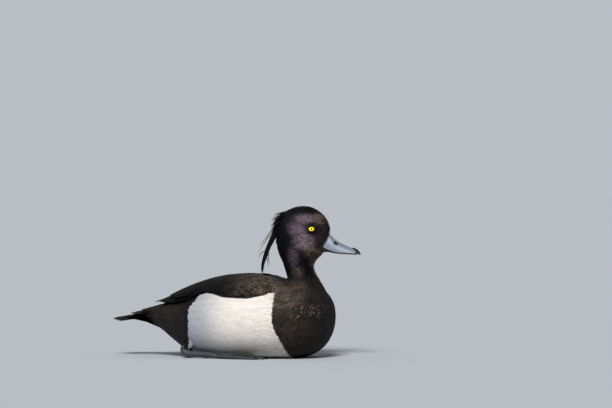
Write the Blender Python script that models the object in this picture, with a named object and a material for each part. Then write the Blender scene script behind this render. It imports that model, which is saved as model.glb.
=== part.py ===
"""A drake tufted duck, life size, resting on its belly as it floats, with its head turned a little.

Metres, +Z up. The body points along +X, the bird's right side along -Y. The origin lies on the
level that the belly and the feet rest on. Sizes in the tables are millimetres.
"""

import math
import random

import bmesh
import bpy
import numpy as np
from mathutils import Matrix, Vector

MM = 0.001
GAP = 0.3

# The trunk, from under the tail to the breast: place along X, height of the back, height of the
# belly, height of the widest line, half width.
TRUNK = [
    (-119.0, 46.8, 42.2, 44.5, 12.5),
    (-110.0, 49.6, 38.4, 44.6, 16.5),
    (-100.0, 53.0, 33.0, 44.8, 21.0),
    (-90.0, 57.2, 26.2, 45.0, 26.5),
    (-76.0, 64.4, 15.5, 45.0, 35.5),
    (-60.0, 72.4, 5.0, 44.0, 46.0),
    (-40.0, 79.2, -0.8, 42.5, 57.0),
    (-20.0, 83.8, -2.0, 42.0, 63.5),
    (0.0, 86.2, -2.0, 42.0, 66.0),
    (20.0, 87.4, -2.0, 42.5, 66.5),
    (34.0, 86.0, -2.0, 43.0, 66.0),
    (46.0, 82.5, -1.8, 43.0, 64.0),
    (59.0, 80.0, -0.5, 43.5, 59.5),
    (70.0, 78.5, 2.5, 44.0, 53.0),
    (79.0, 74.8, 8.0, 44.5, 45.0),
    (85.5, 69.0, 15.5, 45.0, 36.0),
    (89.8, 62.0, 24.0, 45.0, 26.0),
    (92.2, 54.5, 33.5, 45.0, 14.0),
    (92.8, 49.0, 41.0, 45.0, 4.5),
]
TRUNK_RINGS = 28
TRUNK_SIDES = 32
BACK_POWER = 2.05
BELLY_POWER = 2.3

# Neck and head, upwards: height, rear and front of the level cut measured from the neck's axis,
# half width, and where the cut is widest, as a share of the way from rear to front.
NECK_X = 55.8
HEAD = [
    (58.0, -20.0, 31.0, 42.0, 0.50),
    (64.7, -16.0, 30.8, 39.0, 0.50),
    (71.0, -13.0, 29.4, 32.5, 0.50),
    (77.4, -10.8, 26.6, 26.0, 0.50),
    (83.7, -9.8, 23.1, 20.8, 0.50),
    (89.0, -11.2, 20.3, 18.0, 0.50),
    (94.3, -12.9, 18.4, 16.8, 0.49),
    (99.6, -14.7, 18.6, 16.5, 0.48),
    (103.5, -16.2, 20.4, 16.9, 0.47),
    (107.1, -17.8, 23.8, 17.7, 0.46),
    (111.3, -19.5, 27.8, 18.8, 0.45),
    (115.5, -20.7, 30.2, 19.6, 0.45),
    (121.9, -21.7, 31.6, 20.2, 0.45),
    (128.3, -22.3, 33.0, 20.2, 0.45),
    (134.6, -22.7, 35.3, 19.7, 0.44),
    (139.9, -22.5, 34.6, 18.9, 0.44),
    (145.2, -21.2, 32.2, 17.6, 0.44),
    (149.5, -18.4, 29.2, 15.9, 0.45),
    (153.7, -12.7, 24.4, 13.1, 0.47),
    (156.9, -5.8, 18.8, 9.6, 0.50),
    (158.9, 0.4, 13.2, 5.4, 0.50),
]
CROWN_POINT = (6.8, 159.4)
HEAD_RINGS = 25
HEAD_SIDES = 24
HEAD_POWER = 2.12
HEAD_TURN = math.radians(18.0)
TURN_STARTS = 74.0
TURN_ENDS = 98.0

# Where neck and trunk part, and head and neck: a point on the cut and the cut's fall to the front.
NECK_CUT_POINT = (46.0, 82.5)
NECK_CUT_FALL = 0.4375
HEAD_CUT_POINT = (18.7, 99.0)
HEAD_CUT_FALL = 0.41
TAIL_CUT_X = -97.0

# The bill, from its root inside the feathering to the tip: distance from the neck's axis,
# height of its ridge, height of its cutting edge, half width.
UPPER_BILL = [
    (22.0, 132.0, 118.6, 10.8),
    (28.0, 131.6, 116.3, 10.6),
    (33.8, 130.3, 113.9, 10.3),
    (38.0, 126.0, 112.5, 10.1),
    (42.0, 122.4, 111.7, 10.2),
    (47.0, 120.0, 111.3, 10.6),
    (52.0, 118.0, 111.0, 11.1),
    (57.0, 116.2, 110.7, 11.5),
    (61.0, 114.6, 110.4, 11.0),
    (64.0, 113.0, 110.1, 8.8),
    (65.8, 111.8, 109.9, 5.6),
    (66.5, 111.0, 109.8, 2.4),
]
LOWER_BILL = [
    (20.0, 119.0, 110.9, 9.6),
    (27.0, 117.4, 110.9, 9.4),
    (33.8, 114.8, 110.6, 9.0),
    (42.0, 112.8, 110.1, 8.9),
    (52.0, 111.4, 109.7, 9.5),
    (59.0, 110.9, 109.4, 9.3),
    (62.5, 110.6, 109.3, 6.4),
    (64.0, 110.2, 109.3, 2.6),
]
NAIL = [
    (58.6, 116.0, 113.2, 2.4),
    (60.5, 115.5, 112.0, 3.5),
    (63.0, 114.4, 110.9, 3.7),
    (65.6, 112.8, 109.7, 3.1),
    (67.0, 111.0, 109.1, 1.8),
]
BILL_SIDES = 12
UPPER_RINGS = 18
LOWER_RINGS = 12
NAIL_RINGS = 7
NOSTRIL_PLACE = (41.3, 120.9)
NOSTRIL_HALF_SIZES = (2.1, 1.0, 3.4)
NOSTRIL_SLANT = math.radians(32.0)
NOSTRIL_SIDE = 9.4
GAPE_PLACE = (25.2, 13.0, 117.2)
GAPE_SIZES = (7.0, 6.0, 0.9)
GAPE_SWING = 0.5
GAPE_FALL = 0.35

# The eye, in the head's own directions: forward, to the side, up.
EYE_PLACE = (15.2, 14.6, 135.7)
EYE_RADIUS = 5.0
EYE_FORWARD = math.radians(12.0)
LID_HALF_SIZES = (3.75, 3.2)
LID_RADIUS = 0.75
LID_STEPS = 14
LID_CORNERS = 6

# The crest grows from a cap at the rear of the crown, parted from the head along this cut.
CREST_CUT_LOW = (-19.9, 117.5)
CREST_CUT_HIGH = (-4.6, 158.0)
# Its long locks follow one line that droops behind the nape; each row of locks gives its root
# (forward, side, up), how far it lies out from the line, and how far along the line it ends.
CREST_LINE = [
    (-20.0, 138.0),
    (-24.0, 130.0),
    (-28.4, 121.1),
    (-32.2, 112.3),
    (-34.8, 104.8),
    (-36.5, 97.0),
    (-37.0, 90.9),
]
CREST_LINE_STEPS = 40
LONG_LOCKS = [
    ((-13.0, 0.0, 149.5), 1.5, 0.96),
    ((-14.5, -3.4, 147.0), 1.1, 0.88),
    ((-14.5, 3.4, 146.5), 0.9, 1.0),
    ((-16.5, -1.4, 143.5), 0.4, 0.93),
    ((-16.5, 5.0, 142.5), 0.0, 0.8),
    ((-17.0, -5.0, 141.5), -0.1, 0.84),
    ((-18.0, 1.8, 139.0), -0.7, 0.9),
    ((-18.4, -2.6, 136.5), -1.3, 0.78),
    ((-18.6, 2.6, 134.0), -1.9, 0.7),
    ((-18.8, -0.4, 131.5), -2.6, 0.62),
]
LOCK_HALF_SIZES = (1.25, 0.6)
LOCK_SPREAD = 1.15
WISP_HALF_SIZES = (0.6, 0.45)
WISPS = [
    ((-17.0, 4.0, 141.0), 6.0, 0.66),
    ((-17.5, -4.0, 138.0), -4.4, 0.74),
]
LOCK_STEPS = 5
CROWN_LOCKS = 14
CROWN_LOCK_LENGTH = (12.0, 18.5)
CROWN_LOCK_RISE = (2.0, 4.8)
CROWN_LOCK_HALF_WIDTH = (1.7, 2.3)
CROWN_LOCK_HALF_THICK = 0.55
CROWN_LOCK_SUNK = 3.2
# Their roots lie on an oval round this place: its reach back, to each side and up.
CROWN_MIDDLE = (-1.0, 0.0, 137.5)
CROWN_REACH = (21.2, 10.0, 20.4)
CROWN_FIRST_ANGLE = math.radians(20.0)
CROWN_SWEEP = math.radians(82.0)

# The folded wing's cover from the side, along X and up: its lower edge, rear, top and front.
WING_OUTLINE = [
    (46.8, 69.1),
    (36.0, 65.6),
    (20.0, 62.0),
    (4.0, 62.6),
    (-8.0, 63.0),
    (-18.0, 65.6),
    (-28.0, 67.2),
    (-40.0, 64.5),
    (-52.0, 59.0),
    (-64.0, 57.0),
    (-73.0, 59.5),
    (-76.0, 66.0),
    (-66.0, 100.0),
    (4.0, 100.0),
    (14.0, 91.5),
    (25.0, 87.2),
    (35.0, 82.6),
    (41.5, 78.0),
    (45.5, 73.0),
]
WING_COVER = 2.2
WING_FROM_MIDDLE = 1.0

# Vanes in tiers on a wing, tier by tier: root of the first along X, step to the next, how many,
# length, half width, and how far down it lies, as a share of the way from back to lower edge.
WING_TIERS = {
    "scapulars_back": (16.0, -14.0, 3, 36.0, 7.0, 0.19),
    "scapulars_upper": (27.0, -14.0, 4, 37.0, 7.3, 0.40),
    "scapulars_middle": (36.0, -14.0, 5, 37.0, 7.5, 0.61),
    "scapulars_lower": (40.5, -14.0, 5, 37.0, 7.0, 0.80),
    "coverts": (36.0, -14.0, 5, 33.0, 4.6, 0.935),
}
# Longer vanes behind them: root and tip along X, share of the way down at root and tip, and
# half width.
LONG_VANES = {
    "tertials": [
        (-25.0, -83.0, 0.23, 0.23, 7.0),
        (-31.0, -80.0, 0.45, 0.44, 7.0),
        (-37.0, -77.0, 0.66, 0.64, 6.6),
    ],
    "secondaries": [
        (-31.0, -69.0, 0.83, 0.83, 5.8),
        (-38.0, -76.0, 0.94, 0.94, 4.6),
    ],
    "primaries": [
        (-48.0, -101.5, 0.52, 0.34, 4.0),
        (-51.0, -98.5, 0.66, 0.50, 3.8),
        (-54.0, -95.0, 0.78, 0.68, 3.6),
        (-57.0, -91.0, 0.90, 0.84, 3.4),
    ],
}
LOWER_EDGE = WING_OUTLINE[:10] + [(-76.0, 56.4), (-90.0, 53.6), (-104.0, 50.0)]
VANE_THICK = 0.6
VANE_ROOT_LIFT = 1.3
VANE_RISE = 0.1
VANE_ROLL = 0.7
VANE_SHAPE = [(0.0, 0.5), (0.35, 0.96), (0.68, 1.0), (0.9, 0.68), (1.0, 0.2)]

# The tail's vanes on each side of the middle, and the coverts over and under their roots.
TAIL_PAIRS = 7
TAIL_ROOT = (-103.0, 47.6)
TAIL_LENGTH = 46.5
TAIL_SHORTENING = 1.7
TAIL_HALF_WIDTH = 5.6
TAIL_FIRST_ANGLE = math.radians(3.0)
TAIL_SPREAD = math.radians(3.8)
TAIL_DROP = 0.17
TAIL_STEP_DOWN = 0.95
# Coverts: how many in each row, the angle between them, and the middle one's root, length, half
# width and fall over and under the tail.
COVERT_COUNT = 3
COVERT_ANGLE = math.radians(14.0)
COVERT_SPACING = 4.5
UPPER_COVERTS = ((-101.0, 51.0), 28.0, 6.2, 0.16)
UNDER_COVERTS = ((-102.0, 37.4), 33.0, 7.0, 0.02)
COVERT_SHORTENING = 2.5
COVERT_CLOSER = 1.2

# The leg under the belly: ankle, toe joint, and the three front toes' ends with their widths.
LEG_TOP = (-42.0, 38.0, 26.0)
ANKLE = (-54.0, 43.0, 5.6)
TOE_JOINT = (-20.0, 48.5, 4.2)
TOES = {
    "inner": ((19.0, 41.0, 1.6), 5.0, 2.4),
    "middle": ((36.0, 51.0, 1.6), 5.6, 2.6),
    "outer": ((29.0, 60.0, 1.6), 5.2, 2.4),
}
HIND_TOE = ((-29.0, 42.5, 1.8), 3.6, 1.8)
# A toe along its length: share of the way, share of its width, share of its height; and its cut.
TOE_SHAPE = [(0.0, 1.0, 1.5), (0.3, 0.9, 1.3), (0.6, 0.8, 1.1), (0.85, 0.66, 0.9), (1.0, 0.3, 0.5)]
TOE_CUT = [(-1.0, 0.0), (-1.0, 0.45), (-0.55, 1.0), (0.55, 1.0), (1.0, 0.45), (1.0, 0.0)]
SHANK_BEND = (-56.0, 42.4, 9.6)
SHANK_HALF_SIZES = [(6.5, 6.0), (4.6, 4.2), (3.4, 3.4)]
TARSUS_HALF_SIZES = [(3.2, 3.8), (2.6, 3.0), (2.9, 3.2)]
WEB_TOP = 1.3
WEB_BOTTOM = 0.5


def clear_scene():
    for obj in list(bpy.data.objects):
        bpy.data.objects.remove(obj, do_unlink=True)


def material(name, colour, roughness):
    made = bpy.data.materials.new(name)
    made.use_nodes = True
    shader = made.node_tree.nodes["Principled BSDF"]
    shader.inputs["Base Color"].default_value = (*colour, 1.0)
    shader.inputs["Roughness"].default_value = roughness
    shader.inputs["Metallic"].default_value = 0.0
    return made


def spline(rows, count):
    """Reads rows as knots of one smooth curve and returns this many rows along it."""
    knots = np.array(rows, dtype=float)
    steps = np.linalg.norm(np.diff(knots[:, :3], axis=0), axis=1)
    places = np.concatenate([[0.0], np.cumsum(steps)])
    slopes = np.gradient(knots, places, axis=0)
    wanted = np.linspace(0.0, places[-1], count)
    index = np.clip(np.searchsorted(places, wanted) - 1, 0, len(places) - 2)
    span = (places[index + 1] - places[index])[:, None]
    part = (wanted[:, None] - places[index][:, None]) / span
    start = 2 * part**3 - 3 * part**2 + 1
    end = 1 - start
    leave = part**3 - 2 * part**2 + part
    arrive = part**3 - part**2
    return (
        start * knots[index]
        + end * knots[index + 1]
        + leave * span * slopes[index]
        + arrive * span * slopes[index + 1]
    )


TRUNK_LINE = spline(TRUNK, 240)


def signed_power(value, power):
    return math.copysign(abs(value) ** power, value)


def add_object(name, mesh_data):
    mesh = bpy.data.meshes.new(name)
    mesh_data.to_mesh(mesh)
    mesh_data.free()
    obj = bpy.data.objects.new(name, mesh)
    bpy.context.scene.collection.objects.link(obj)
    return obj


def add_body(name, shape):
    """Adds a closed body whose faces all look outwards."""
    bmesh.ops.recalc_face_normals(shape, faces=shape.faces)
    if shape.calc_volume(signed=True) < 0:
        bmesh.ops.reverse_faces(shape, faces=shape.faces)
    return add_object(name, shape)


def loft(name, rings, first_point=None, last_point=None):
    """Skins closed rings of points into one closed body, its ends flat or drawn to a point."""
    shape = bmesh.new()
    rows = [[shape.verts.new(Vector(point) * MM) for point in ring] for ring in rings]
    for row, following in zip(rows, rows[1:]):
        for index in range(len(row)):
            ahead = (index + 1) % len(row)
            shape.faces.new((row[index], row[ahead], following[ahead], following[index]))
    for row, point, flip in ((rows[0], first_point, True), (rows[-1], last_point, False)):
        order = list(reversed(row)) if flip else list(row)
        if point is None:
            shape.faces.new(order)
            continue
        tip = shape.verts.new(Vector(point) * MM)
        for index in range(len(order)):
            shape.faces.new((order[index], order[(index + 1) % len(order)], tip))
    return add_body(name, shape)


def trunk_point(row, angle, grow=0.0):
    """A point on the trunk's cut; the angle runs from the back (0) down the left side (+Y)."""
    place, back, belly, middle, half = row
    rise = back - middle if math.cos(angle) > 0 else middle - belly
    power = 2 / (BACK_POWER if math.cos(angle) > 0 else BELLY_POWER)
    across = (half + grow) * signed_power(math.sin(angle), power)
    height = middle + (rise + grow) * signed_power(math.cos(angle), power)
    return Vector((place, across, max(height, -grow)))


def trunk_loft(name, grow=0.0):
    rows = spline(TRUNK, TRUNK_RINGS)
    rows[0][0] -= grow
    rows[-1][0] += grow
    rings = []
    for row in rows:
        angles = [math.tau * side / TRUNK_SIDES for side in range(TRUNK_SIDES)]
        rings.append([trunk_point(row, angle, grow) for angle in angles])
    return loft(name, rings)


def head_turn(height):
    share = min(max((height - TURN_STARTS) / (TURN_ENDS - TURN_STARTS), 0.0), 1.0)
    return HEAD_TURN * share * share * (3 - 2 * share)


def head_place(forward, side, height, turn=HEAD_TURN):
    """Turns a place in the head's own directions into one in the model."""
    return Vector(
        (
            NECK_X + forward * math.cos(turn) - side * math.sin(turn),
            forward * math.sin(turn) + side * math.cos(turn),
            height,
        )
    )


def head_loft(name, grow=0.0):
    rings = []
    for height, rear, front, half, share in spline(HEAD, HEAD_RINGS):
        widest = rear + share * (front - rear)
        ring = []
        for side in range(HEAD_SIDES):
            angle = math.tau * side / HEAD_SIDES
            reach = front - widest if math.cos(angle) > 0 else widest - rear
            forward = widest + (reach + grow) * signed_power(math.cos(angle), 2 / HEAD_POWER)
            across = (half + grow) * signed_power(math.sin(angle), 2 / HEAD_POWER)
            ring.append(head_place(forward, across, height, head_turn(height)))
        rings.append(ring)
    crown = head_place(CROWN_POINT[0], 0.0, CROWN_POINT[1] + grow)
    return loft(name, rings, last_point=crown)


def bill_loft(name, rows, count, grow=0.0):
    """An arched body along the head's forward direction, nearly flat beneath."""
    rings = []
    lines = spline(rows, count)
    for index, (forward, ridge, edge, half) in enumerate(lines):
        ahead = grow if index == len(lines) - 1 else 0.0
        ahead -= grow if index == 0 else 0.0
        ring = []
        for side in range(BILL_SIDES):
            angle = math.tau * (side + 0.5) / BILL_SIDES
            across = (half + grow) * signed_power(math.cos(angle), 0.8)
            lift = math.sin(angle)
            top = edge + (ridge - edge + grow) * signed_power(lift, 0.9)
            under = edge + (0.12 * (ridge - edge) + grow) * lift
            ring.append(head_place(forward + ahead, across, top if lift > 0 else under))
        rings.append(ring)
    return loft(name, rings)


def sphere(name, centre, radius, rings=8, sides=14):
    shape = bmesh.new()
    bmesh.ops.create_uvsphere(shape, u_segments=sides, v_segments=rings, radius=radius * MM)
    bmesh.ops.translate(shape, vec=Vector(centre) * MM, verts=shape.verts)
    return add_object(name, shape)


def block(name, sizes, matrix):
    """A box of these sizes, placed by a matrix whose position is in millimetres."""
    shape = bmesh.new()
    bmesh.ops.create_cube(shape, size=1.0)
    for vert in shape.verts:
        corner = Vector(vert.co[axis] * sizes[axis] for axis in range(3))
        vert.co = (matrix @ corner) * MM
    return add_object(name, shape)


def tube(name, points, halves, sides=8, flat=None):
    """A body along points; halves gives half its width and half its height at each."""
    points = [Vector(point) for point in points]
    rings = []
    for index, point in enumerate(points):
        before = points[max(index - 1, 0)]
        after = points[min(index + 1, len(points) - 1)]
        along = (after - before).normalized()
        up = Vector(flat or (0, 0, 1))
        across = up.cross(along).normalized()
        rise = along.cross(across).normalized()
        wide, high = halves[index]
        ring = []
        for side in range(sides):
            angle = math.tau * (side + 0.5) / sides
            ring.append(point + across * wide * math.cos(angle) + rise * high * math.sin(angle))
        rings.append(ring)
    return loft(name, rings)


def freeze(obj):
    """Makes what the modifiers show the object's own mesh."""
    bpy.context.view_layer.update()
    graph = bpy.context.evaluated_depsgraph_get()
    mesh = bpy.data.meshes.new_from_object(obj.evaluated_get(graph))
    obj.modifiers.clear()
    obj.data = mesh


def cut_with(obj, cutter, operation, solver="EXACT"):
    step = obj.modifiers.new("cut", "BOOLEAN")
    step.operation = operation
    step.solver = solver
    step.object = cutter
    freeze(obj)
    bpy.data.objects.remove(cutter, do_unlink=True)


def fuse(obj, pieces, solver="EXACT"):
    """One union of the object with closed pieces, which are then removed."""
    group = bpy.data.collections.new("pieces")
    bpy.context.scene.collection.children.link(group)
    for piece in pieces:
        bpy.context.scene.collection.objects.unlink(piece)
        group.objects.link(piece)
    step = obj.modifiers.new("join", "BOOLEAN")
    step.operation = "UNION"
    step.operand_type = "COLLECTION"
    step.collection = group
    step.solver = solver
    freeze(obj)
    for piece in list(group.objects):
        bpy.data.objects.remove(piece, do_unlink=True)
    bpy.data.collections.remove(group)
    keep_largest(obj)


def keep_largest(obj):
    """Keeps the closed surface that holds most and drops the rest."""
    shape = bmesh.new()
    shape.from_mesh(obj.data)
    unseen = set(shape.faces)
    shells = []
    while unseen:
        shell = {unseen.pop()}
        edge_of_shell = list(shell)
        while edge_of_shell:
            face = edge_of_shell.pop()
            for edge in face.edges:
                for neighbour in edge.link_faces:
                    if neighbour in unseen:
                        unseen.discard(neighbour)
                        shell.add(neighbour)
                        edge_of_shell.append(neighbour)
        shells.append(shell)
    largest = max(shells, key=shell_volume)
    dropped = [face for shell in shells if shell is not largest for face in shell]
    bmesh.ops.delete(shape, geom=dropped, context="FACES")
    loose = [vert for vert in shape.verts if not vert.link_faces]
    bmesh.ops.delete(shape, geom=loose, context="VERTS")
    shape.to_mesh(obj.data)
    shape.free()


def shell_volume(faces):
    total = 0.0
    for face in faces:
        first = face.verts[0].co
        for index in range(1, len(face.verts) - 1):
            second = face.verts[index].co
            third = face.verts[index + 1].co
            total += first.dot(second.cross(third)) / 6
    return abs(total)


def copy_of(obj, name):
    twin = bpy.data.objects.new(name, obj.data.copy())
    bpy.context.scene.collection.objects.link(twin)
    return twin


def finish_node(obj, name, skin, angle=50.0):
    obj.name = name
    obj.data.name = name
    obj.data.materials.clear()
    obj.data.materials.append(skin)
    obj.data.shade_smooth()
    obj.data.set_sharp_from_angle(angle=math.radians(angle))
    return obj


def slab_over(point, fall, turn, gap):
    """A huge box over a plane that falls to the front, in the directions of a turned head."""
    size = 400.0
    tilt = math.atan(fall)
    base = head_place(point[0], 0.0, point[1], turn)
    matrix = Matrix.Translation(base) @ Matrix.Rotation(turn, 4, "Z")
    matrix = matrix @ Matrix.Rotation(tilt, 4, "Y")
    matrix = matrix @ Matrix.Translation((0, 0, size / 2 + gap))
    return block("slab", (size, size, size), matrix)


def build_flesh():
    """Head, neck and trunk as one body, parted with thin cuts."""
    flesh = trunk_loft("flesh")
    fuse(flesh, [head_loft("head_form")])
    neck_point = (NECK_CUT_POINT[0] - NECK_X, NECK_CUT_POINT[1])

    upper = copy_of(flesh, "upper")
    cut_with(flesh, slab_over(neck_point, NECK_CUT_FALL, 0.0, -GAP / 2), "DIFFERENCE")
    cut_with(upper, slab_over(neck_point, NECK_CUT_FALL, 0.0, GAP / 2), "INTERSECT")
    neck = copy_of(upper, "neck")
    head_cut = (HEAD_CUT_POINT, HEAD_CUT_FALL, HEAD_TURN)
    cut_with(neck, slab_over(*head_cut, -GAP / 2), "DIFFERENCE")
    cut_with(upper, slab_over(*head_cut, GAP / 2), "INTERSECT")
    return flesh, neck, upper


def crest_slab(gap):
    """A huge box behind the cut that parts the crest's cap from the head."""
    size = 200.0
    low = head_place(CREST_CUT_LOW[0], 0.0, CREST_CUT_LOW[1])
    high = head_place(CREST_CUT_HIGH[0], 0.0, CREST_CUT_HIGH[1])
    up = (high - low).normalized()
    across = Vector((-math.sin(HEAD_TURN), math.cos(HEAD_TURN), 0.0))
    ahead = across.cross(up).normalized()
    middle = (low + high) / 2 - ahead * (size / 2 + gap)
    matrix = Matrix((ahead, across, up)).transposed().to_4x4()
    matrix.translation = middle
    return block("crest_slab", (size, size, size), matrix)


def eye_centre(side):
    return head_place(EYE_PLACE[0], side * EYE_PLACE[1], EYE_PLACE[2])


def lid_ring(side):
    """A closed ring that hugs the eyeball, to be half sunk in the head."""
    turn = HEAD_TURN + side * (math.pi / 2 - EYE_FORWARD)
    out = Vector((math.cos(turn), math.sin(turn), 0.0))
    ahead = Vector((-out.y, out.x, 0.0)) * -side
    centre = eye_centre(side)
    shape = bmesh.new()
    rows = []
    for step in range(LID_STEPS):
        angle = math.tau * step / LID_STEPS
        away = ahead * LID_HALF_SIZES[0] * math.cos(angle)
        away = away + Vector((0, 0, 1)) * LID_HALF_SIZES[1] * math.sin(angle)
        reach = math.sqrt((EYE_RADIUS + GAP) ** 2 - away.length**2)
        middle = centre + away + out * reach
        outward = away.normalized()
        row = []
        for corner in range(LID_CORNERS):
            swing = math.tau * corner / LID_CORNERS
            offset = outward * math.cos(swing) + out * math.sin(swing)
            row.append(shape.verts.new((middle + offset * LID_RADIUS) * MM))
        rows.append(row)
    for index, row in enumerate(rows):
        following = rows[(index + 1) % len(rows)]
        for corner in range(LID_CORNERS):
            after = (corner + 1) % LID_CORNERS
            shape.faces.new((row[corner], row[after], following[after], following[corner]))
    return add_body("lid", shape)


def build_eyes(coat):
    for side, name in ((1, "eye_left"), (-1, "eye_right")):
        eye = sphere(name, eye_centre(side), EYE_RADIUS)
        finish_node(eye, name, coat)


def shape_head(head):
    """Adds the lids, hollows the eye sockets and draws the corner of the mouth."""
    fuse(head, [lid_ring(1), lid_ring(-1)])
    for side in (1, -1):
        cut_with(head, sphere("socket", eye_centre(side), EYE_RADIUS + GAP), "DIFFERENCE")
        corner = head_place(GAPE_PLACE[0], side * GAPE_PLACE[1], GAPE_PLACE[2])
        swing = Matrix.Rotation(HEAD_TURN - side * GAPE_SWING, 4, "Z")
        matrix = Matrix.Translation(corner) @ swing @ Matrix.Rotation(GAPE_FALL, 4, "Y")
        cut_with(head, block("gape", GAPE_SIZES, matrix), "DIFFERENCE")
    keep_largest(head)


def build_bill(blue_grey, black):
    upper = bill_loft("bill_upper", UPPER_BILL, UPPER_RINGS)
    cut_with(upper, head_loft("head_space", GAP), "DIFFERENCE")
    cut_with(upper, bill_loft("nail_space", NAIL, NAIL_RINGS, GAP), "DIFFERENCE")
    for side in (1, -1):
        centre = head_place(NOSTRIL_PLACE[0], side * NOSTRIL_SIDE, NOSTRIL_PLACE[1])
        shape = sphere("nostril", (0, 0, 0), 1.0, 8, 12)
        matrix = Matrix.Translation(centre * MM) @ Matrix.Rotation(HEAD_TURN, 4, "Z")
        matrix = matrix @ Matrix.Rotation(NOSTRIL_SLANT, 4, "Y")
        long_half, high_half, deep_half = NOSTRIL_HALF_SIZES
        matrix = matrix @ Matrix.Diagonal((long_half, deep_half, high_half, 1.0))
        shape.data.transform(matrix)
        cut_with(upper, shape, "DIFFERENCE")
    keep_largest(upper)
    finish_node(upper, "bill_upper", blue_grey)

    lower = bill_loft("bill_lower", LOWER_BILL, LOWER_RINGS)
    cut_with(lower, head_loft("head_space", GAP), "DIFFERENCE")
    cut_with(lower, bill_loft("upper_space", UPPER_BILL, UPPER_RINGS, GAP), "DIFFERENCE")
    cut_with(lower, bill_loft("nail_space", NAIL, NAIL_RINGS, GAP), "DIFFERENCE")
    keep_largest(lower)
    finish_node(lower, "bill_lower", black)

    nail = bill_loft("bill_nail", NAIL, NAIL_RINGS)
    finish_node(nail, "bill_nail", black)


def lock(name, points, half_wide, half_thick, lean):
    """A flat tapered lock of four sides; lean turns its flat face about its length."""
    points = [Vector(point) for point in points]
    rings = []
    across_head = Vector((-math.sin(HEAD_TURN), math.cos(HEAD_TURN), 0.0))
    for index, point in enumerate(points):
        before = points[max(index - 1, 0)]
        after = points[min(index + 1, len(points) - 1)]
        along = (after - before).normalized()
        flat = across_head.cross(along).normalized()
        edge = along.cross(flat).normalized()
        wide = flat * math.cos(lean) + edge * math.sin(lean)
        thick = edge * math.cos(lean) - flat * math.sin(lean)
        share = index / (len(points) - 1)
        taper = 0.8 + 0.2 * min(share * 4, 1.0) - max(share - 0.35, 0.0) * 1.3
        wide = wide * half_wide * taper
        thick = thick * half_thick * max(taper, 0.45)
        rings.append([point + wide, point + thick, point - wide, point - thick])
    return loft(name, rings)


def long_lock(root, out, ends, half_wide, half_thick, lean):
    """A lock from its root in the cap along the crest's line, gathered towards the tip."""
    line = spline(CREST_LINE, CREST_LINE_STEPS + 1)
    places = [root]
    for step in range(1, LOCK_STEPS + 1):
        share = ends * (step / LOCK_STEPS) ** 0.9
        index = min(round(share * CREST_LINE_STEPS), CREST_LINE_STEPS)
        at = line[index]
        ahead = line[min(index + 1, CREST_LINE_STEPS)] - line[index - 1]
        away = Vector((ahead[1], -ahead[0])).normalized()
        gather = 1.0 - 0.8 * share
        forward = at[0] + away.x * out * gather
        height = at[1] + away.y * out * gather
        places.append((forward, root[1] * (1.0 - 0.75 * share), height))
    points = [head_place(*place) for place in places]
    return lock("lock", points, half_wide, half_thick, lean)


def crown_lock(index, draw):
    """A short lock low over the rear crown, its tip standing off the nape."""
    share = (index + 0.5) / CROWN_LOCKS
    back = CROWN_FIRST_ANGLE + CROWN_SWEEP * share
    aside = (index * 0.618 % 1.0 - 0.5) * 2.0
    out = Vector((-math.sin(back), 0.0, math.cos(back)))
    across = aside * CROWN_REACH[1] * (1 - 0.25 * share)
    offset = Vector((out.x * CROWN_REACH[0], across, out.z * CROWN_REACH[2]))
    surface = Vector(CROWN_MIDDLE) + offset - out * 3.2 * aside**2
    along = Vector((-math.cos(back), 0.12 * aside, -math.sin(back)))
    length = draw.uniform(*CROWN_LOCK_LENGTH)
    rise = CROWN_LOCK_SUNK + draw.uniform(*CROWN_LOCK_RISE)
    root = surface - out * CROWN_LOCK_SUNK
    places = [root]
    for step in (0.35, 0.7, 1.0):
        places.append(root + along * length * step + out * rise * step * (1.5 - 0.5 * step))
    points = [head_place(*place) for place in places]
    half_wide = draw.uniform(*CROWN_LOCK_HALF_WIDTH)
    return lock("lock", points, half_wide, CROWN_LOCK_HALF_THICK, math.pi / 2)


def build_crest(head, coat):
    cap = copy_of(head, "crest")
    cut_with(cap, crest_slab(GAP / 2), "INTERSECT")
    cut_with(head, crest_slab(-GAP / 2), "DIFFERENCE")
    draw = random.Random(11)
    pieces = []
    for root, out, ends in LONG_LOCKS:
        lean = draw.uniform(-0.5, 0.5)
        pieces.append(long_lock(root, out * LOCK_SPREAD, ends, *LOCK_HALF_SIZES, lean))
    for root, out, ends in WISPS:
        pieces.append(long_lock(root, out, ends, *WISP_HALF_SIZES, 0.0))
    for index in range(CROWN_LOCKS):
        pieces.append(crown_lock(index, draw))
    fuse(cap, pieces, "MANIFOLD")
    nape = head_loft("nape", GAP)
    cut_with(nape, crest_slab(GAP / 2), "DIFFERENCE")
    cut_with(cap, nape, "DIFFERENCE", "MANIFOLD")
    keep_largest(cap)
    finish_node(cap, "crest", coat, 35.0)


def wing_region(side):
    shape = bmesh.new()
    near = WING_FROM_MIDDLE * side * MM
    far = 90.0 * side * MM
    inner = [shape.verts.new((x * MM, near, z * MM)) for x, z in WING_OUTLINE]
    outer = [shape.verts.new((x * MM, far, z * MM)) for x, z in WING_OUTLINE]
    shape.faces.new(inner)
    shape.faces.new(list(reversed(outer)))
    for index in range(len(inner)):
        ahead = (index + 1) % len(inner)
        shape.faces.new((inner[ahead], inner[index], outer[index], outer[ahead]))
    return add_body("wing_region", shape)


def trunk_row(place):
    """The trunk's cut at this place along X."""
    return [float(np.interp(place, TRUNK_LINE[:, 0], TRUNK_LINE[:, column])) for column in range(5)]


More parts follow.
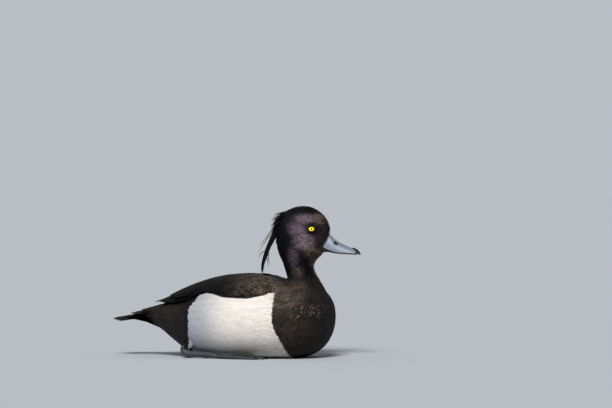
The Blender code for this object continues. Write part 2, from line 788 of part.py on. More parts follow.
def over_trunk(place, degrees, aside, lift, side):
    """A point over the trunk: this far along X and down the side, moved across and lifted off."""
    row = trunk_row(place)
    angle = math.radians(degrees)
    step = math.radians(0.5)
    ahead = trunk_point(row, angle + step)
    behind = trunk_point(row, angle - step)
    arc = (ahead - behind).length / (2 * step)
    angle = max(angle + aside / arc, math.asin(min(WING_FROM_MIDDLE / row[4], 1.0)))
    point = trunk_point(row, angle, lift)
    return Vector((point.x, point.y * side, point.z))


def vane_solid(grid):
    """A thin closed blade from rows of (top, bottom) points, split alike on both faces."""
    shape = bmesh.new()
    rows = [[[shape.verts.new(p * MM) for p in pair] for pair in row] for row in grid]
    for row, following in zip(rows, rows[1:]):
        for near, far, next_near, next_far in zip(row, row[1:], following, following[1:]):
            for layer in (0, 1):
                shape.faces.new((near[layer], far[layer], next_far[layer]))
                shape.faces.new((near[layer], next_far[layer], next_near[layer]))
        for column in (0, -1):
            a, b = row[column]
            c, d = following[column]
            shape.faces.new((a, b, d))
            shape.faces.new((a, d, c))
    for row in (rows[0], rows[-1]):
        for near, far in zip(row, row[1:]):
            shape.faces.new((near[0], far[0], far[1], near[1]))
    return add_body("vane", shape)


def edge_angle(place):
    """The angle down the trunk's side, in degrees, of the wing's lower edge."""
    row = trunk_row(place)
    places = [point[0] for point in reversed(LOWER_EDGE)]
    heights = [point[1] for point in reversed(LOWER_EDGE)]
    height = float(np.interp(place, places, heights))
    share = min((height - row[3]) / (row[1] - row[3]), 1.0)
    return math.degrees(math.acos(share ** (BACK_POWER / 2)))


def wing_vane(root, tip, root_share, tip_share, half, side):
    """A vane that lies back over the trunk and rises by the same slope as all the others."""
    grid = []
    for share, width in VANE_SHAPE:
        place = root + (tip - root) * share
        degrees = edge_angle(place) * (root_share + (tip_share - root_share) * share)
        middle_lift = VANE_ROOT_LIFT + VANE_RISE * (root - place)
        row = []
        for aside in (-half * width, half * width):
            lift = middle_lift + VANE_ROLL * aside / half
            top = over_trunk(place, degrees, aside, lift + VANE_THICK / 2, side)
            bottom = over_trunk(place, degrees, aside, lift - VANE_THICK / 2, side)
            row.append((top, bottom))
        grid.append(row)
    return vane_solid(grid)


def build_wing(side, name, coat):
    wing = trunk_loft(name, WING_COVER)
    cut_with(wing, wing_region(side), "INTERSECT")
    cut_with(wing, trunk_loft("trunk_space", GAP), "DIFFERENCE")
    keep_largest(wing)
    vanes = []
    for first, step, count, length, half, share in WING_TIERS.values():
        for index in range(count):
            root = first + step * index
            vanes.append(wing_vane(root, root - length, share, share, half, side))
    for tier in LONG_VANES.values():
        for root, tip, root_share, tip_share, half in tier:
            vanes.append(wing_vane(root, tip, root_share, tip_share, half, side))
    fuse(wing, vanes, "MANIFOLD")
    finish_node(wing, name, coat, 30.0)


def fan_vane(root, angle, length, half, drop):
    """A flat, straight vane that spreads from the tail's root and falls to the rear."""
    along = Vector((-math.cos(angle), math.sin(angle), 0.0))
    across = Vector((math.sin(angle), math.cos(angle), 0.0))
    thick = Vector((0.0, 0.0, VANE_THICK / 2))
    grid = []
    for share, width in VANE_SHAPE:
        middle = root + along * length * share
        middle.z -= drop * length * share
        row = []
        for aside in (-half * width, half * width):
            point = middle + across * aside
            row.append((point + thick, point - thick))
        grid.append(row)
    return vane_solid(grid)


def build_tail(trunk, coat):
    size = 300.0
    behind = Matrix.Translation((TAIL_CUT_X - GAP / 2 - size / 2, 0, 0))
    tail = copy_of(trunk, "tail")
    cut_with(tail, block("behind", (size, size, size), behind), "INTERSECT")
    reach = Matrix.Translation((TAIL_CUT_X + GAP / 2 - size / 2, 0, 0))
    cut_with(trunk, block("behind", (size, size, size), reach), "DIFFERENCE")
    vanes = []
    for pair in range(TAIL_PAIRS):
        angle = TAIL_FIRST_ANGLE + TAIL_SPREAD * pair
        length = TAIL_LENGTH - TAIL_SHORTENING * pair
        for side in (1, -1):
            level = 0 if pair == 0 and side == 1 else pair + 1
            height = TAIL_ROOT[1] - TAIL_STEP_DOWN * level
            root = Vector((TAIL_ROOT[0], side * (0.8 + 0.75 * pair), height))
            vanes.append(fan_vane(root, side * angle, length, TAIL_HALF_WIDTH, TAIL_DROP))
    for index in range(COVERT_COUNT):
        place = index - (COVERT_COUNT - 1) / 2
        outer = abs(place)
        for covert, inward in ((UPPER_COVERTS, -1), (UNDER_COVERTS, 1)):
            (ahead, height), length, half, drop = covert
            height += inward * COVERT_CLOSER * outer
            root = Vector((ahead - outer, COVERT_SPACING * place, height))
            length -= COVERT_SHORTENING * outer
            vanes.append(fan_vane(root, COVERT_ANGLE * place, length, half, drop))
    fuse(tail, vanes, "MANIFOLD")
    finish_node(tail, "tail", coat, 30.0)


def toe_solid(joint, toe, side):
    """A toe that lies on the floor, thick at its joint, with a flat sole."""
    end, wide, high = toe
    along = Vector((end[0] - joint.x, end[1] * side - joint.y, 0.0))
    across = Vector((-along.y, along.x, 0.0)).normalized()
    rings = []
    for share, width_share, high_share in TOE_SHAPE:
        middle = Vector((joint.x, joint.y, 0.0)) + along * share
        ring = []
        for offset, height in TOE_CUT:
            rise = Vector((0.0, 0.0, height * high * high_share))
            ring.append(middle + rise + across * offset * wide / 2 * width_share)
        rings.append(ring)
    return loft("toe", rings)


def web_solid(joint, first, second, side):
    """A web between two toes, hollowed at its front edge."""
    corners = []
    for end, wide, high in (first, second):
        corners.append(joint.lerp(Vector((end[0], end[1] * side, end[2])), 0.93))
    middle = joint.lerp((corners[0] + corners[1]) / 2, 0.9)
    outline = [joint, corners[0], middle, corners[1]]
    shape = bmesh.new()
    low = [shape.verts.new(Vector((p.x, p.y, WEB_BOTTOM)) * MM) for p in outline]
    high = [shape.verts.new(Vector((p.x, p.y, WEB_TOP)) * MM) for p in outline]
    for row in (low, high):
        shape.faces.new((row[0], row[1], row[2]))
        shape.faces.new((row[0], row[2], row[3]))
    for index in range(4):
        ahead = (index + 1) % 4
        shape.faces.new((low[index], low[ahead], high[ahead], high[index]))
    return add_body("web", shape)


def build_leg(side, leg_name, foot_name, skin):
    top, bend, ankle, joint = (
        Vector((place[0], place[1] * side, place[2]))
        for place in (LEG_TOP, SHANK_BEND, ANKLE, TOE_JOINT)
    )
    leg = tube("shank", [top, bend, ankle], SHANK_HALF_SIZES, flat=(1, 0, 0.2))
    stations = [ankle, ankle.lerp(joint, 0.5), ankle.lerp(joint, 0.93)]
    fuse(leg, [tube("tarsus", stations, TARSUS_HALF_SIZES)])
    cut_with(leg, trunk_loft("trunk_space", GAP), "DIFFERENCE")
    keep_largest(leg)
    finish_node(leg, leg_name, skin)

    foot = toe_solid(joint, TOES["middle"], side)
    parts = [toe_solid(joint, toe, side) for toe in (TOES["inner"], TOES["outer"], HIND_TOE)]
    parts.append(web_solid(joint, TOES["inner"], TOES["middle"], side))
    parts.append(web_solid(joint, TOES["middle"], TOES["outer"], side))
    fuse(foot, parts)
    leg_space = copy_of(leg, "leg_space")
    swell = leg_space.modifiers.new("swell", "DISPLACE")
    swell.strength = GAP * MM
    swell.mid_level = 0.0
    freeze(leg_space)
    cut_with(foot, leg_space, "DIFFERENCE")
    keep_largest(foot)
    finish_node(foot, foot_name, skin)


def build():
    clear_scene()
    breast_black = material("breast_black", (0.035, 0.028, 0.026), 0.6)
    neck_black = material("neck_black", (0.022, 0.017, 0.022), 0.55)
    head_black = material("head_black", (0.03, 0.02, 0.035), 0.45)
    wing_brown = material("wing_brown", (0.045, 0.033, 0.026), 0.6)
    tail_black = material("tail_black", (0.03, 0.027, 0.026), 0.6)
    eye_gold = material("eye_gold", (0.9, 0.62, 0.02), 0.1)
    bill_grey = material("bill_grey", (0.42, 0.5, 0.6), 0.4)
    nail_black = material("nail_black", (0.02, 0.02, 0.022), 0.35)
    foot_grey = material("foot_grey", (0.2, 0.24, 0.27), 0.5)

    trunk, neck, head = build_flesh()
    shape_head(head)
    build_crest(head, head_black)
    build_tail(trunk, tail_black)
    build_wing(1, "wing_left", wing_brown)
    build_wing(-1, "wing_right", wing_brown)
    build_leg(1, "leg_left", "foot_left", foot_grey)
    build_leg(-1, "leg_right", "foot_right", foot_grey)
    build_bill(bill_grey, nail_black)
    build_eyes(eye_gold)
    keep_largest(head)
    keep_largest(neck)
    keep_largest(trunk)
    finish_node(head, "head", head_black)
    finish_node(neck, "neck", neck_black)
    finish_node(trunk, "torso", breast_black)


build()
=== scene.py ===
"""The looks of a drake tufted duck, life size, resting on its belly with its head up.

Sizes are millimetres, but for those that end in _M, which are metres like the measures of the
finishes. The bird faces +X, its right side is -Y.
"""

import itertools
import math
import random

import bmesh
import bpy
import numpy as np
from mathutils import Matrix, Vector
from mathutils.bvhtree import BVHTree


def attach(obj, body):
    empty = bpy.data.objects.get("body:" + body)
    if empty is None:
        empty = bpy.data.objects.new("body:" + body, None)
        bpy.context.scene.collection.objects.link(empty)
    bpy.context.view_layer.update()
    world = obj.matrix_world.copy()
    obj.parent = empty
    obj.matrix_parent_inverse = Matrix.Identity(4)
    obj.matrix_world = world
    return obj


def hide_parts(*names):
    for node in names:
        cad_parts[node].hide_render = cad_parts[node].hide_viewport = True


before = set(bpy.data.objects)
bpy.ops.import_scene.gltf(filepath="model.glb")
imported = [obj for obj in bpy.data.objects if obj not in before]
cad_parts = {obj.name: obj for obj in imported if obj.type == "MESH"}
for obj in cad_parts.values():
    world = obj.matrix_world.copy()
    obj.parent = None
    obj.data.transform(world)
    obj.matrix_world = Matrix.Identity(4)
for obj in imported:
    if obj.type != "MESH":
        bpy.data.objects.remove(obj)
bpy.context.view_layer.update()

# The skin.
# One hide over trunk, neck and head. On the bird it is thin skin under the plumage, so it lies
# inside the solids by the depth of the coat and shows only as dark ground between feathers.
MM = 0.001
# Place along X, height of the back, height of the belly, height of the widest line, half width.
TRUNK = [
    (-119.0, 46.8, 42.2, 44.5, 12.5),
    (-110.0, 49.6, 38.4, 44.6, 16.5),
    (-100.0, 53.0, 33.0, 44.8, 21.0),
    (-90.0, 57.2, 26.2, 45.0, 26.5),
    (-76.0, 64.4, 15.5, 45.0, 35.5),
    (-60.0, 72.4, 5.0, 44.0, 46.0),
    (-40.0, 79.2, -0.8, 42.5, 57.0),
    (-20.0, 83.8, -2.0, 42.0, 63.5),
    (0.0, 86.2, -2.0, 42.0, 66.0),
    (20.0, 87.4, -2.0, 42.5, 66.5),
    (34.0, 86.0, -2.0, 43.0, 66.0),
    (46.0, 82.5, -1.8, 43.0, 64.0),
    (59.0, 80.0, -0.5, 43.5, 59.5),
    (70.0, 78.5, 2.5, 44.0, 53.0),
    (79.0, 74.8, 8.0, 44.5, 45.0),
    (85.5, 69.0, 15.5, 45.0, 36.0),
    (89.8, 62.0, 24.0, 45.0, 26.0),
    (92.2, 54.5, 33.5, 45.0, 14.0),
    (92.8, 49.0, 41.0, 45.0, 4.5),
]
BACK_POWER = 2.05
BELLY_POWER = 2.3
# Height, rear and front from the neck's axis, half width, and where it is widest, rear to front.
HEAD = [
    (58.0, -20.0, 31.0, 42.0, 0.50),
    (64.7, -16.0, 30.8, 39.0, 0.50),
    (71.0, -13.0, 29.4, 32.5, 0.50),
    (77.4, -10.8, 26.6, 26.0, 0.50),
    (83.7, -9.8, 23.1, 20.8, 0.50),
    (89.0, -11.2, 20.3, 18.0, 0.50),
    (94.3, -12.9, 18.4, 16.8, 0.49),
    (99.6, -14.7, 18.6, 16.5, 0.48),
    (103.5, -16.2, 20.4, 16.9, 0.47),
    (107.1, -17.8, 23.8, 17.7, 0.46),
    (111.3, -19.5, 27.8, 18.8, 0.45),
    (115.5, -20.7, 30.2, 19.6, 0.45),
    (121.9, -21.7, 31.6, 20.2, 0.45),
    (128.3, -22.3, 33.0, 20.2, 0.45),
    (134.6, -22.7, 35.3, 19.7, 0.44),
    (139.9, -22.5, 34.6, 18.9, 0.44),
    (145.2, -21.2, 32.2, 17.6, 0.44),
    (149.5, -18.4, 29.2, 15.9, 0.45),
    (153.7, -12.7, 24.4, 13.1, 0.47),
    (156.9, -5.8, 18.8, 9.6, 0.50),
    (158.9, 0.4, 13.2, 5.4, 0.50),
]
HEAD_POWER = 2.12
# The feathered swelling round the bill's root: centre forward and up, half sizes, and its ends.
BILL_SLEEVE = (24.0, 127.0)
SLEEVE_HALF_SIZES = (9.3, 9.6, 7.6)
SLEEVE_POWER = 3.4
SLEEVE_ENDS = 0.97
NECK_X = 55.8
HEAD_TURN = math.radians(18.0)
TURN_STARTS = 74.0
TURN_ENDS = 98.0
COAT_DEPTH = 1.5
SKIN_SIDES = 64
TRUNK_RINGS = 90
HEAD_RINGS = 60
SLEEVE_RINGS = 24
SKIN_GRAIN = 1.5
SKIN_SMOOTHING = 6


def spline(rows, count):
    """Reads rows as knots of one smooth curve and returns this many rows along it."""
    knots = np.array(rows, dtype=float)
    steps = np.linalg.norm(np.diff(knots[:, :3], axis=0), axis=1)
    places = np.concatenate([[0.0], np.cumsum(steps)])
    slopes = np.gradient(knots, places, axis=0)
    wanted = np.linspace(0.0, places[-1], count)
    index = np.clip(np.searchsorted(places, wanted) - 1, 0, len(places) - 2)
    span = (places[index + 1] - places[index])[:, None]
    part = (wanted[:, None] - places[index][:, None]) / span
    start = 2 * part**3 - 3 * part**2 + 1
    leave = part**3 - 2 * part**2 + part
    arrive = part**3 - part**2
    return (
        start * knots[index]
        + (1 - start) * knots[index + 1]
        + leave * span * slopes[index]
        + arrive * span * slopes[index + 1]
    )


TRUNK_LINE = spline(TRUNK, 400)


def signed_power(value, power):
    return math.copysign(abs(value) ** power, value)


def ramp(value, start, end):
    """0 before start, 1 after end, and smooth between them."""
    share = min(max((value - start) / (end - start), 0.0), 1.0)
    return share * share * (3 - 2 * share)


def trunk_row(place):
    return [float(np.interp(place, TRUNK_LINE[:, 0], TRUNK_LINE[:, column])) for column in range(5)]


def trunk_point(row, angle, grow=0.0):
    """A point on the trunk's cut; the angle runs from the back (0) down the left side (+Y)."""
    place, back, belly, middle, half = row
    rise = back - middle if math.cos(angle) > 0 else middle - belly
    power = 2 / (BACK_POWER if math.cos(angle) > 0 else BELLY_POWER)
    across = (half + grow) * signed_power(math.sin(angle), power)
    height = middle + (rise + grow) * signed_power(math.cos(angle), power)
    return Vector((place, across, max(height, -grow)))


def head_place(forward, side, height, turn=HEAD_TURN):
    """Turns a place in the head's own directions into one in the model."""
    ahead = Vector((math.cos(turn), math.sin(turn), 0.0))
    aside = Vector((-math.sin(turn), math.cos(turn), 0.0))
    return Vector((NECK_X, 0.0, height)) + ahead * forward + aside * side


def in_head(point):
    """The reverse of head_place for the turned head: forward, side and height."""
    x, y = point.x - NECK_X, point.y
    cosine, sine = math.cos(HEAD_TURN), math.sin(HEAD_TURN)
    return Vector((x * cosine + y * sine, y * cosine - x * sine, point.z))


def head_ring(row):
    height, rear, front, half, share = row
    widest = rear + share * (front - rear)
    turn = HEAD_TURN * ramp(height, TURN_STARTS, TURN_ENDS)
    ring = []
    for side in range(SKIN_SIDES):
        angle = math.tau * side / SKIN_SIDES
        reach = front - widest if math.cos(angle) > 0 else widest - rear
        forward = widest + (reach - COAT_DEPTH) * signed_power(math.cos(angle), 2 / HEAD_POWER)
        across = (half - COAT_DEPTH) * signed_power(math.sin(angle), 2 / HEAD_POWER)
        ring.append(head_place(forward, across, height, turn))
    return ring


def sleeve_rings():
    """Rings of the swelling round the bill's root, from its foot to its top."""
    rings = []
    for ring in range(SLEEVE_RINGS):
        rise = -SLEEVE_ENDS + 2 * SLEEVE_ENDS * ring / (SLEEVE_RINGS - 1)
        share = (1 - abs(rise) ** SLEEVE_POWER) ** (1 / SLEEVE_POWER)
        height = BILL_SLEEVE[1] + rise * SLEEVE_HALF_SIZES[2]
        points = []
        for side in range(SKIN_SIDES):
            angle = math.tau * side / SKIN_SIDES
            ahead = signed_power(math.cos(angle), 2 / SLEEVE_POWER) * SLEEVE_HALF_SIZES[0]
            across = signed_power(math.sin(angle), 2 / SLEEVE_POWER) * SLEEVE_HALF_SIZES[1]
            points.append(head_place(BILL_SLEEVE[0] + ahead * share, across * share, height))
        rings.append(points)
    return rings


def in_scene(name, contents):
    """An object of this mesh, lamp or camera, in the scene."""
    obj = bpy.data.objects.new(name, contents)
    bpy.context.scene.collection.objects.link(obj)
    return obj


def add_mesh(name, points, faces):
    """A smooth object from points in millimetres and faces."""
    mesh = bpy.data.meshes.new(name)
    mesh.from_pydata((np.array([tuple(point) for point in points]) * MM).tolist(), [], faces)
    mesh.validate()
    mesh.shade_smooth()
    return in_scene(name, mesh)


def loft_faces(ring_count, sides, first=0):
    """Faces of a closed body of rings that lie one after another in its list of points."""
    faces = [list(range(first + sides - 1, first - 1, -1))]
    for ring in range(ring_count - 1):
        for side in range(sides):
            near = first + ring * sides + side
            ahead = first + ring * sides + (side + 1) % sides
            faces.append([near, ahead, ahead + sides, near + sides])
    last = first + (ring_count - 1) * sides
    faces.append(list(range(last, last + sides)))
    return faces


def turned_outwards(obj):
    shape = bmesh.new()
    shape.from_mesh(obj.data)
    bmesh.ops.recalc_face_normals(shape, faces=shape.faces)
    if shape.calc_volume(signed=True) < 0:
        bmesh.ops.reverse_faces(shape, faces=shape.faces)
    shape.to_mesh(obj.data)
    shape.free()
    return obj


def as_shown(obj):
    """Makes what the modifiers show the object's own mesh."""
    bpy.context.view_layer.update()
    graph = bpy.context.evaluated_depsgraph_get()
    mesh = bpy.data.meshes.new_from_object(obj.evaluated_get(graph))
    obj.modifiers.clear()
    obj.data = mesh
    return obj


def build_skin():
    angles = [math.tau * side / SKIN_SIDES for side in range(SKIN_SIDES)]
    trunk_rings = [
        [trunk_point(row, angle, -COAT_DEPTH) for angle in angles]
        for row in spline(TRUNK, TRUNK_RINGS)
    ]
    head_rings = [head_ring(row) for row in spline(HEAD, HEAD_RINGS)]
    points = []
    faces = []
    for rings in (trunk_rings, head_rings, sleeve_rings()):
        faces += loft_faces(len(rings), SKIN_SIDES, len(points))
        points += [point for ring in rings for point in ring]
    skin = add_mesh("skin", points, faces)
    turned_outwards(skin)
    join = skin.modifiers.new("join", "REMESH")
    join.mode = "VOXEL"
    join.voxel_size = SKIN_GRAIN * MM
    join.use_smooth_shade = True
    smooth = skin.modifiers.new("smooth", "SMOOTH")
    smooth.factor = 0.5
    smooth.iterations = SKIN_SMOOTHING
    as_shown(skin)
    skin.data.shade_smooth()
    return skin


skin = build_skin()
skin_points = np.empty(len(skin.data.vertices) * 3)
skin.data.vertices.foreach_get("co", skin_points)
skin_points = skin_points.reshape(-1, 3) / MM
skin_polygons = [list(polygon.vertices) for polygon in skin.data.polygons]
SKIN_TREE = BVHTree.FromPolygons([Vector(point) for point in skin_points], skin_polygons)

# The markings: a drake is black but for white flanks and belly; its mantle and breast are grained
# with brown, which on the shoulder is partly painted sunlight, and a mauve sheen is painted on its
# cheeks. They are worked out from places, alike for skin and feathers.

# The wing's lower edge, which the white ends under: places along X and heights.
WING_LOW_EDGE = [
    (-104.0, 50.0), (-90.0, 53.6), (-76.0, 56.4), (-64.0, 57.0), (-52.0, 60.6),
    (-40.0, 66.8), (-28.0, 69.6), (-18.0, 68.0), (-8.0, 65.4), (4.0, 65.0),
    (20.0, 64.6), (36.0, 67.8), (46.8, 70.8),
]
WHITE_FRONT = 46.5
WHITE_REAR = -47.5
WHITE_GROWS_OVER = 16.0
# Stretches over which a part of the bird begins, as heights or as places along X.
UNDERSIDE_HEIGHTS = (8.0, 44.0)
NECK_HEIGHTS = (80.0, 90.0)
HEAD_HEIGHTS = (82.0, 88.0)
NECK_ALONG = (24.0, 40.0)
BREAST_ALONG = (44.0, 52.0)
TIPPED_ALONG = (60.0, 70.0)
# How brown: the breast and its sides besides, the shoulder (brown grain, partly painted sunlight),
# the rump.
BREAST_BROWN = 0.12
BREAST_SIDE_BROWN = 0.13
SHOULDER_BROWN_AND_SUNLIGHT = 0.75
RUMP_BROWN = 0.14
# The neck's root, along X and up, above which the skin is unwrapped with the head.
NECK_ROOT = (26.0, 84.0)
BILL_ROOT_AT = (37.0, 122.0)
BILL_ROOT = head_place(BILL_ROOT_AT[0], 0.0, BILL_ROOT_AT[1])
# Fields of colour and of painted sheen on the head, seen from its side: centre forward and up,
# squeeze of both, the distances at which a field begins to fade and is gone, and its strength. The
# shoulder has one too, of brown grain and painted sunlight.
BROWN_FIELDS = [
    (24.0, 147.0, 1.0, 1.2, 4.0, 12.0, 1.0),
    (27.5, 126.0, 1.2, 0.55, 3.0, 12.0, 0.5),
    (17.0, 112.5, 0.8, 1.3, 4.5, 12.5, 1.0),
    (18.5, 103.5, 1.0, 0.7, 2.0, 8.0, 1.0),
    (1.5, 90.0, 1.0, 1.1, 3.0, 9.0, 0.5),
]
# Painted sheen: where the head's mauve gloss is painted into the plumage's colour.
PAINTED_SHEEN_FIELDS = [
    (8.0, 124.5, 1.0, 1.2, 5.0, 17.0, 1.0),
    (9.0, 146.5, 0.8, 1.7, 3.0, 14.0, 0.8),
    (1.5, 137.0, 0.9, 1.1, 3.0, 14.0, 0.7),
    (-3.5, 109.0, 1.4, 0.7, 2.0, 12.0, 0.45),
]
SHEENLESS_ROUND_EYE = (16.5, 137.0, 1.0, 1.1, 5.0, 10.0, 1.0)
SHOULDER_PATCH = (46.5, 77.0, 1.0, 0.8, 3.0, 9.0, 1.0)


def wing_low_edge(place):
    places, heights = zip(*WING_LOW_EDGE)
    return float(np.interp(place, places, heights))


def field_share(field, ahead, height):
    """How strong a field of colour is at a place seen from the side."""
    middle, level, wide, tall, fades, gone, strength = field
    away = math.hypot((ahead - middle) * wide, (height - level) * tall)
    return strength * (1 - ramp(away, fades, gone))


def markings(point):
    """White, brown, painted mauve sheen and pale tips of the plumage at a place, each from 0 to 1.

    White grows evenly across its edge, which lies where it is one half.
    """
    # White lies between two slanting lines and ends under the folded wing.
    under = 1 - ramp(point.z, *UNDERSIDE_HEIGHTS)
    front = WHITE_FRONT + 9.0 * under + 1.5 * (1 - ramp(point.z, 58.0, 68.0))
    rear = WHITE_REAR - 3.0 * under + 8.5 * ramp(point.z, 50.0, 67.0)
    over_edge = 4.0 * (1 - ramp(point.x, 26.0, 44.0))
    inside = min(front - point.x, point.x - rear, wing_low_edge(point.x) + over_edge - point.z)
    white = min(max(0.5 + inside / WHITE_GROWS_OVER, 0.0), 1.0)

    # Brown: dull on breast and rump, in fields on the head, and stronger on shoulder and mantle,
    # where it is partly painted sunlight; the mantle's middle stays black as painted shadow of the
    # neck.
    neck_share = ramp(point.z, *NECK_HEIGHTS) * ramp(point.x, *NECK_ALONG)
    breast = ramp(point.x, *BREAST_ALONG) * (1 - neck_share)
    sides = ramp(abs(point.y), 12.0, 34.0)
    starts = 64.0 - 14.0 * ramp(point.x, 40.0, 50.0)
    ahead = ramp(point.x, 30.0, 46.0)
    # Painted shadow: the middle of the mantle, behind the neck, is kept black.
    off_middle = ramp(abs(point.y), 2.0 + 10.0 * ahead, 18.0 + 16.0 * ahead)
    on_shoulder = ramp(point.z, starts, starts + 9.0) * (1 - neck_share) * off_middle
    shoulder = ramp(point.x, -16.0, 24.0) * (1 - 0.75 * ramp(point.x, 64.0, 82.0)) * on_shoulder
    # The shoulder patch: brown grain and painted sunlight.
    patch = field_share(SHOULDER_PATCH, point.x, point.z) * sides
    beside = BREAST_SIDE_BROWN * sides * (1 - 0.6 * ramp(point.x, 66.0, 84.0))
    dull = (BREAST_BROWN + beside) * breast
    local = in_head(point)
    head_share = ramp(point.z, *HEAD_HEIGHTS) * ramp(point.x, *NECK_ALONG)
    brown_head = max(field_share(field, local.x, local.z) for field in BROWN_FIELDS) * head_share
    rump = RUMP_BROWN * (1 - ramp(point.x, -62.0, -46.0)) * (1 - ramp(point.z, 52.0, 60.0))
    brown = max(dull, SHOULDER_BROWN_AND_SUNLIGHT * shoulder, patch, brown_head, rump)

    # Painted sheen: mauve is painted on the sides of the head, where the gloss would shine, and
    # kept off the round of the eye; pale tips lie in a band low on the breast.
    lit = max(field_share(field, local.x, local.z) for field in PAINTED_SHEEN_FIELDS) * head_share
    lit *= 1 - field_share(SHEENLESS_ROUND_EYE, local.x, local.z)
    painted_sheen = lit * ramp(abs(local.y), 5.0, 12.0)
    pale = ramp(point.x, *TIPPED_ALONG) * ramp(point.z, 40.0, 49.0)
    pale *= 1 - ramp(point.z, 51.0, 61.0)
    pale *= 0.25 + 0.75 * ramp(abs(point.y), 8.0, 24.0)
    return white, brown, painted_sheen, pale


def paint_markings(mesh, marks, tones):
    """Stores white, brown, painted mauve sheen and each feather's own tone with the mesh."""
    layer = mesh.attributes.new("markings", "FLOAT_COLOR", "POINT")
    values = np.column_stack([np.array(marks)[:, :3], tones]).astype(np.float32)
    layer.data.foreach_set("color", values.ravel())
    pale = mesh.attributes.new("pale_tips", "FLOAT", "POINT")
    pale.data.foreach_set("value", np.array(marks, dtype=np.float32)[:, 3])


def unwrap(point):
    """A place on the skin's own unwrap: the trunk rolled out below, neck and head above."""
    if point.z > NECK_ROOT[1] and point.x > NECK_ROOT[0]:
        local = in_head(point)
        around = math.atan2(local.y, local.x - 4.0) / math.tau + 0.5
        return (0.02 + 0.96 * around, 0.56 + 0.42 * (point.z - NECK_ROOT[1]) / 76.0)
    row = trunk_row(point.x)
    around = math.atan2(point.y, point.z - row[3]) / math.tau + 0.5
    return (0.02 + 0.96 * (point.x + 120.0) / 214.0, 0.02 + 0.5 * around)


skin_marks = [markings(Vector(point)) for point in skin_points]
paint_markings(skin.data, skin_marks, np.full(len(skin_marks), 0.5))
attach(skin, "root")
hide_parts("torso", "neck", "head")


# Shader groups that several of the bird's finishes share.
def shader_group(name, inputs, outputs):
    """A node group with named sockets; returns it with its own input and output nodes."""
    group = bpy.data.node_groups.new(name, "ShaderNodeTree")
    for label, kind, value in inputs:
        socket = group.interface.new_socket(label, in_out="INPUT", socket_type=kind)
        if value is not None:
            socket.default_value = value
    for label, kind in outputs:
        group.interface.new_socket(label, in_out="OUTPUT", socket_type=kind)
    return group, group.nodes.new("NodeGroupInput"), group.nodes.new("NodeGroupOutput")


def feed(node, sockets):
    """Feeds each named socket of a node by another node's output, or sets its own value."""
    for name, value in sockets.items():
        if isinstance(value, bpy.types.NodeSocket):
            node.id_data.links.new(value, node.inputs[name])
        else:
            node.inputs[name].default_value = value


def add_node(tree, kind, sockets, **settings):
    node = tree.nodes.new(kind)
    for name, value in settings.items():
        setattr(node, name, value)
    feed(node, sockets)
    return node


def noise(tree, scale, detail=2.0, roughness=0.5, **sockets):
    sockets.update(Scale=scale, Detail=detail, Roughness=roughness)
    return add_node(tree, "ShaderNodeTexNoise", sockets).outputs["Fac"]


def here(tree):
    """The place on the object, in metres."""
    return add_node(tree, "ShaderNodeTexCoord", {}).outputs["Object"]


def stored(tree, name, output="Fac"):
    return add_node(tree, "ShaderNodeAttribute", {}, attribute_name=name).outputs[output]


def maths(tree, operation, *values):
    return add_node(tree, "ShaderNodeMath", dict(enumerate(values)), operation=operation).outputs[0]


def blend_colours(tree, share, first, second):
    """Mixes two colours; the mix has its colours in sockets 6 and 7, and gives one in output 2."""
    sockets = {0: share, 6: first, 7: second}
    return add_node(tree, "ShaderNodeMix", sockets, data_type="RGBA").outputs[2]


def scaled(tree, colour, amount):
    sockets = {0: colour, "Scale": amount}
    return add_node(tree, "ShaderNodeVectorMath", sockets, operation="SCALE").outputs["Vector"]


def stretched(tree, value, low, high, to_low=0.0, to_high=1.0):
    """A value's range from low to high spread over another, smoothly and clamped."""
    sockets = {"Value": value, "From Min": low, "From Max": high}
    sockets.update({"To Min": to_low, "To Max": to_high})
    node = add_node(tree, "ShaderNodeMapRange", sockets, interpolation_type="SMOOTHSTEP")
    return node.outputs["Result"]


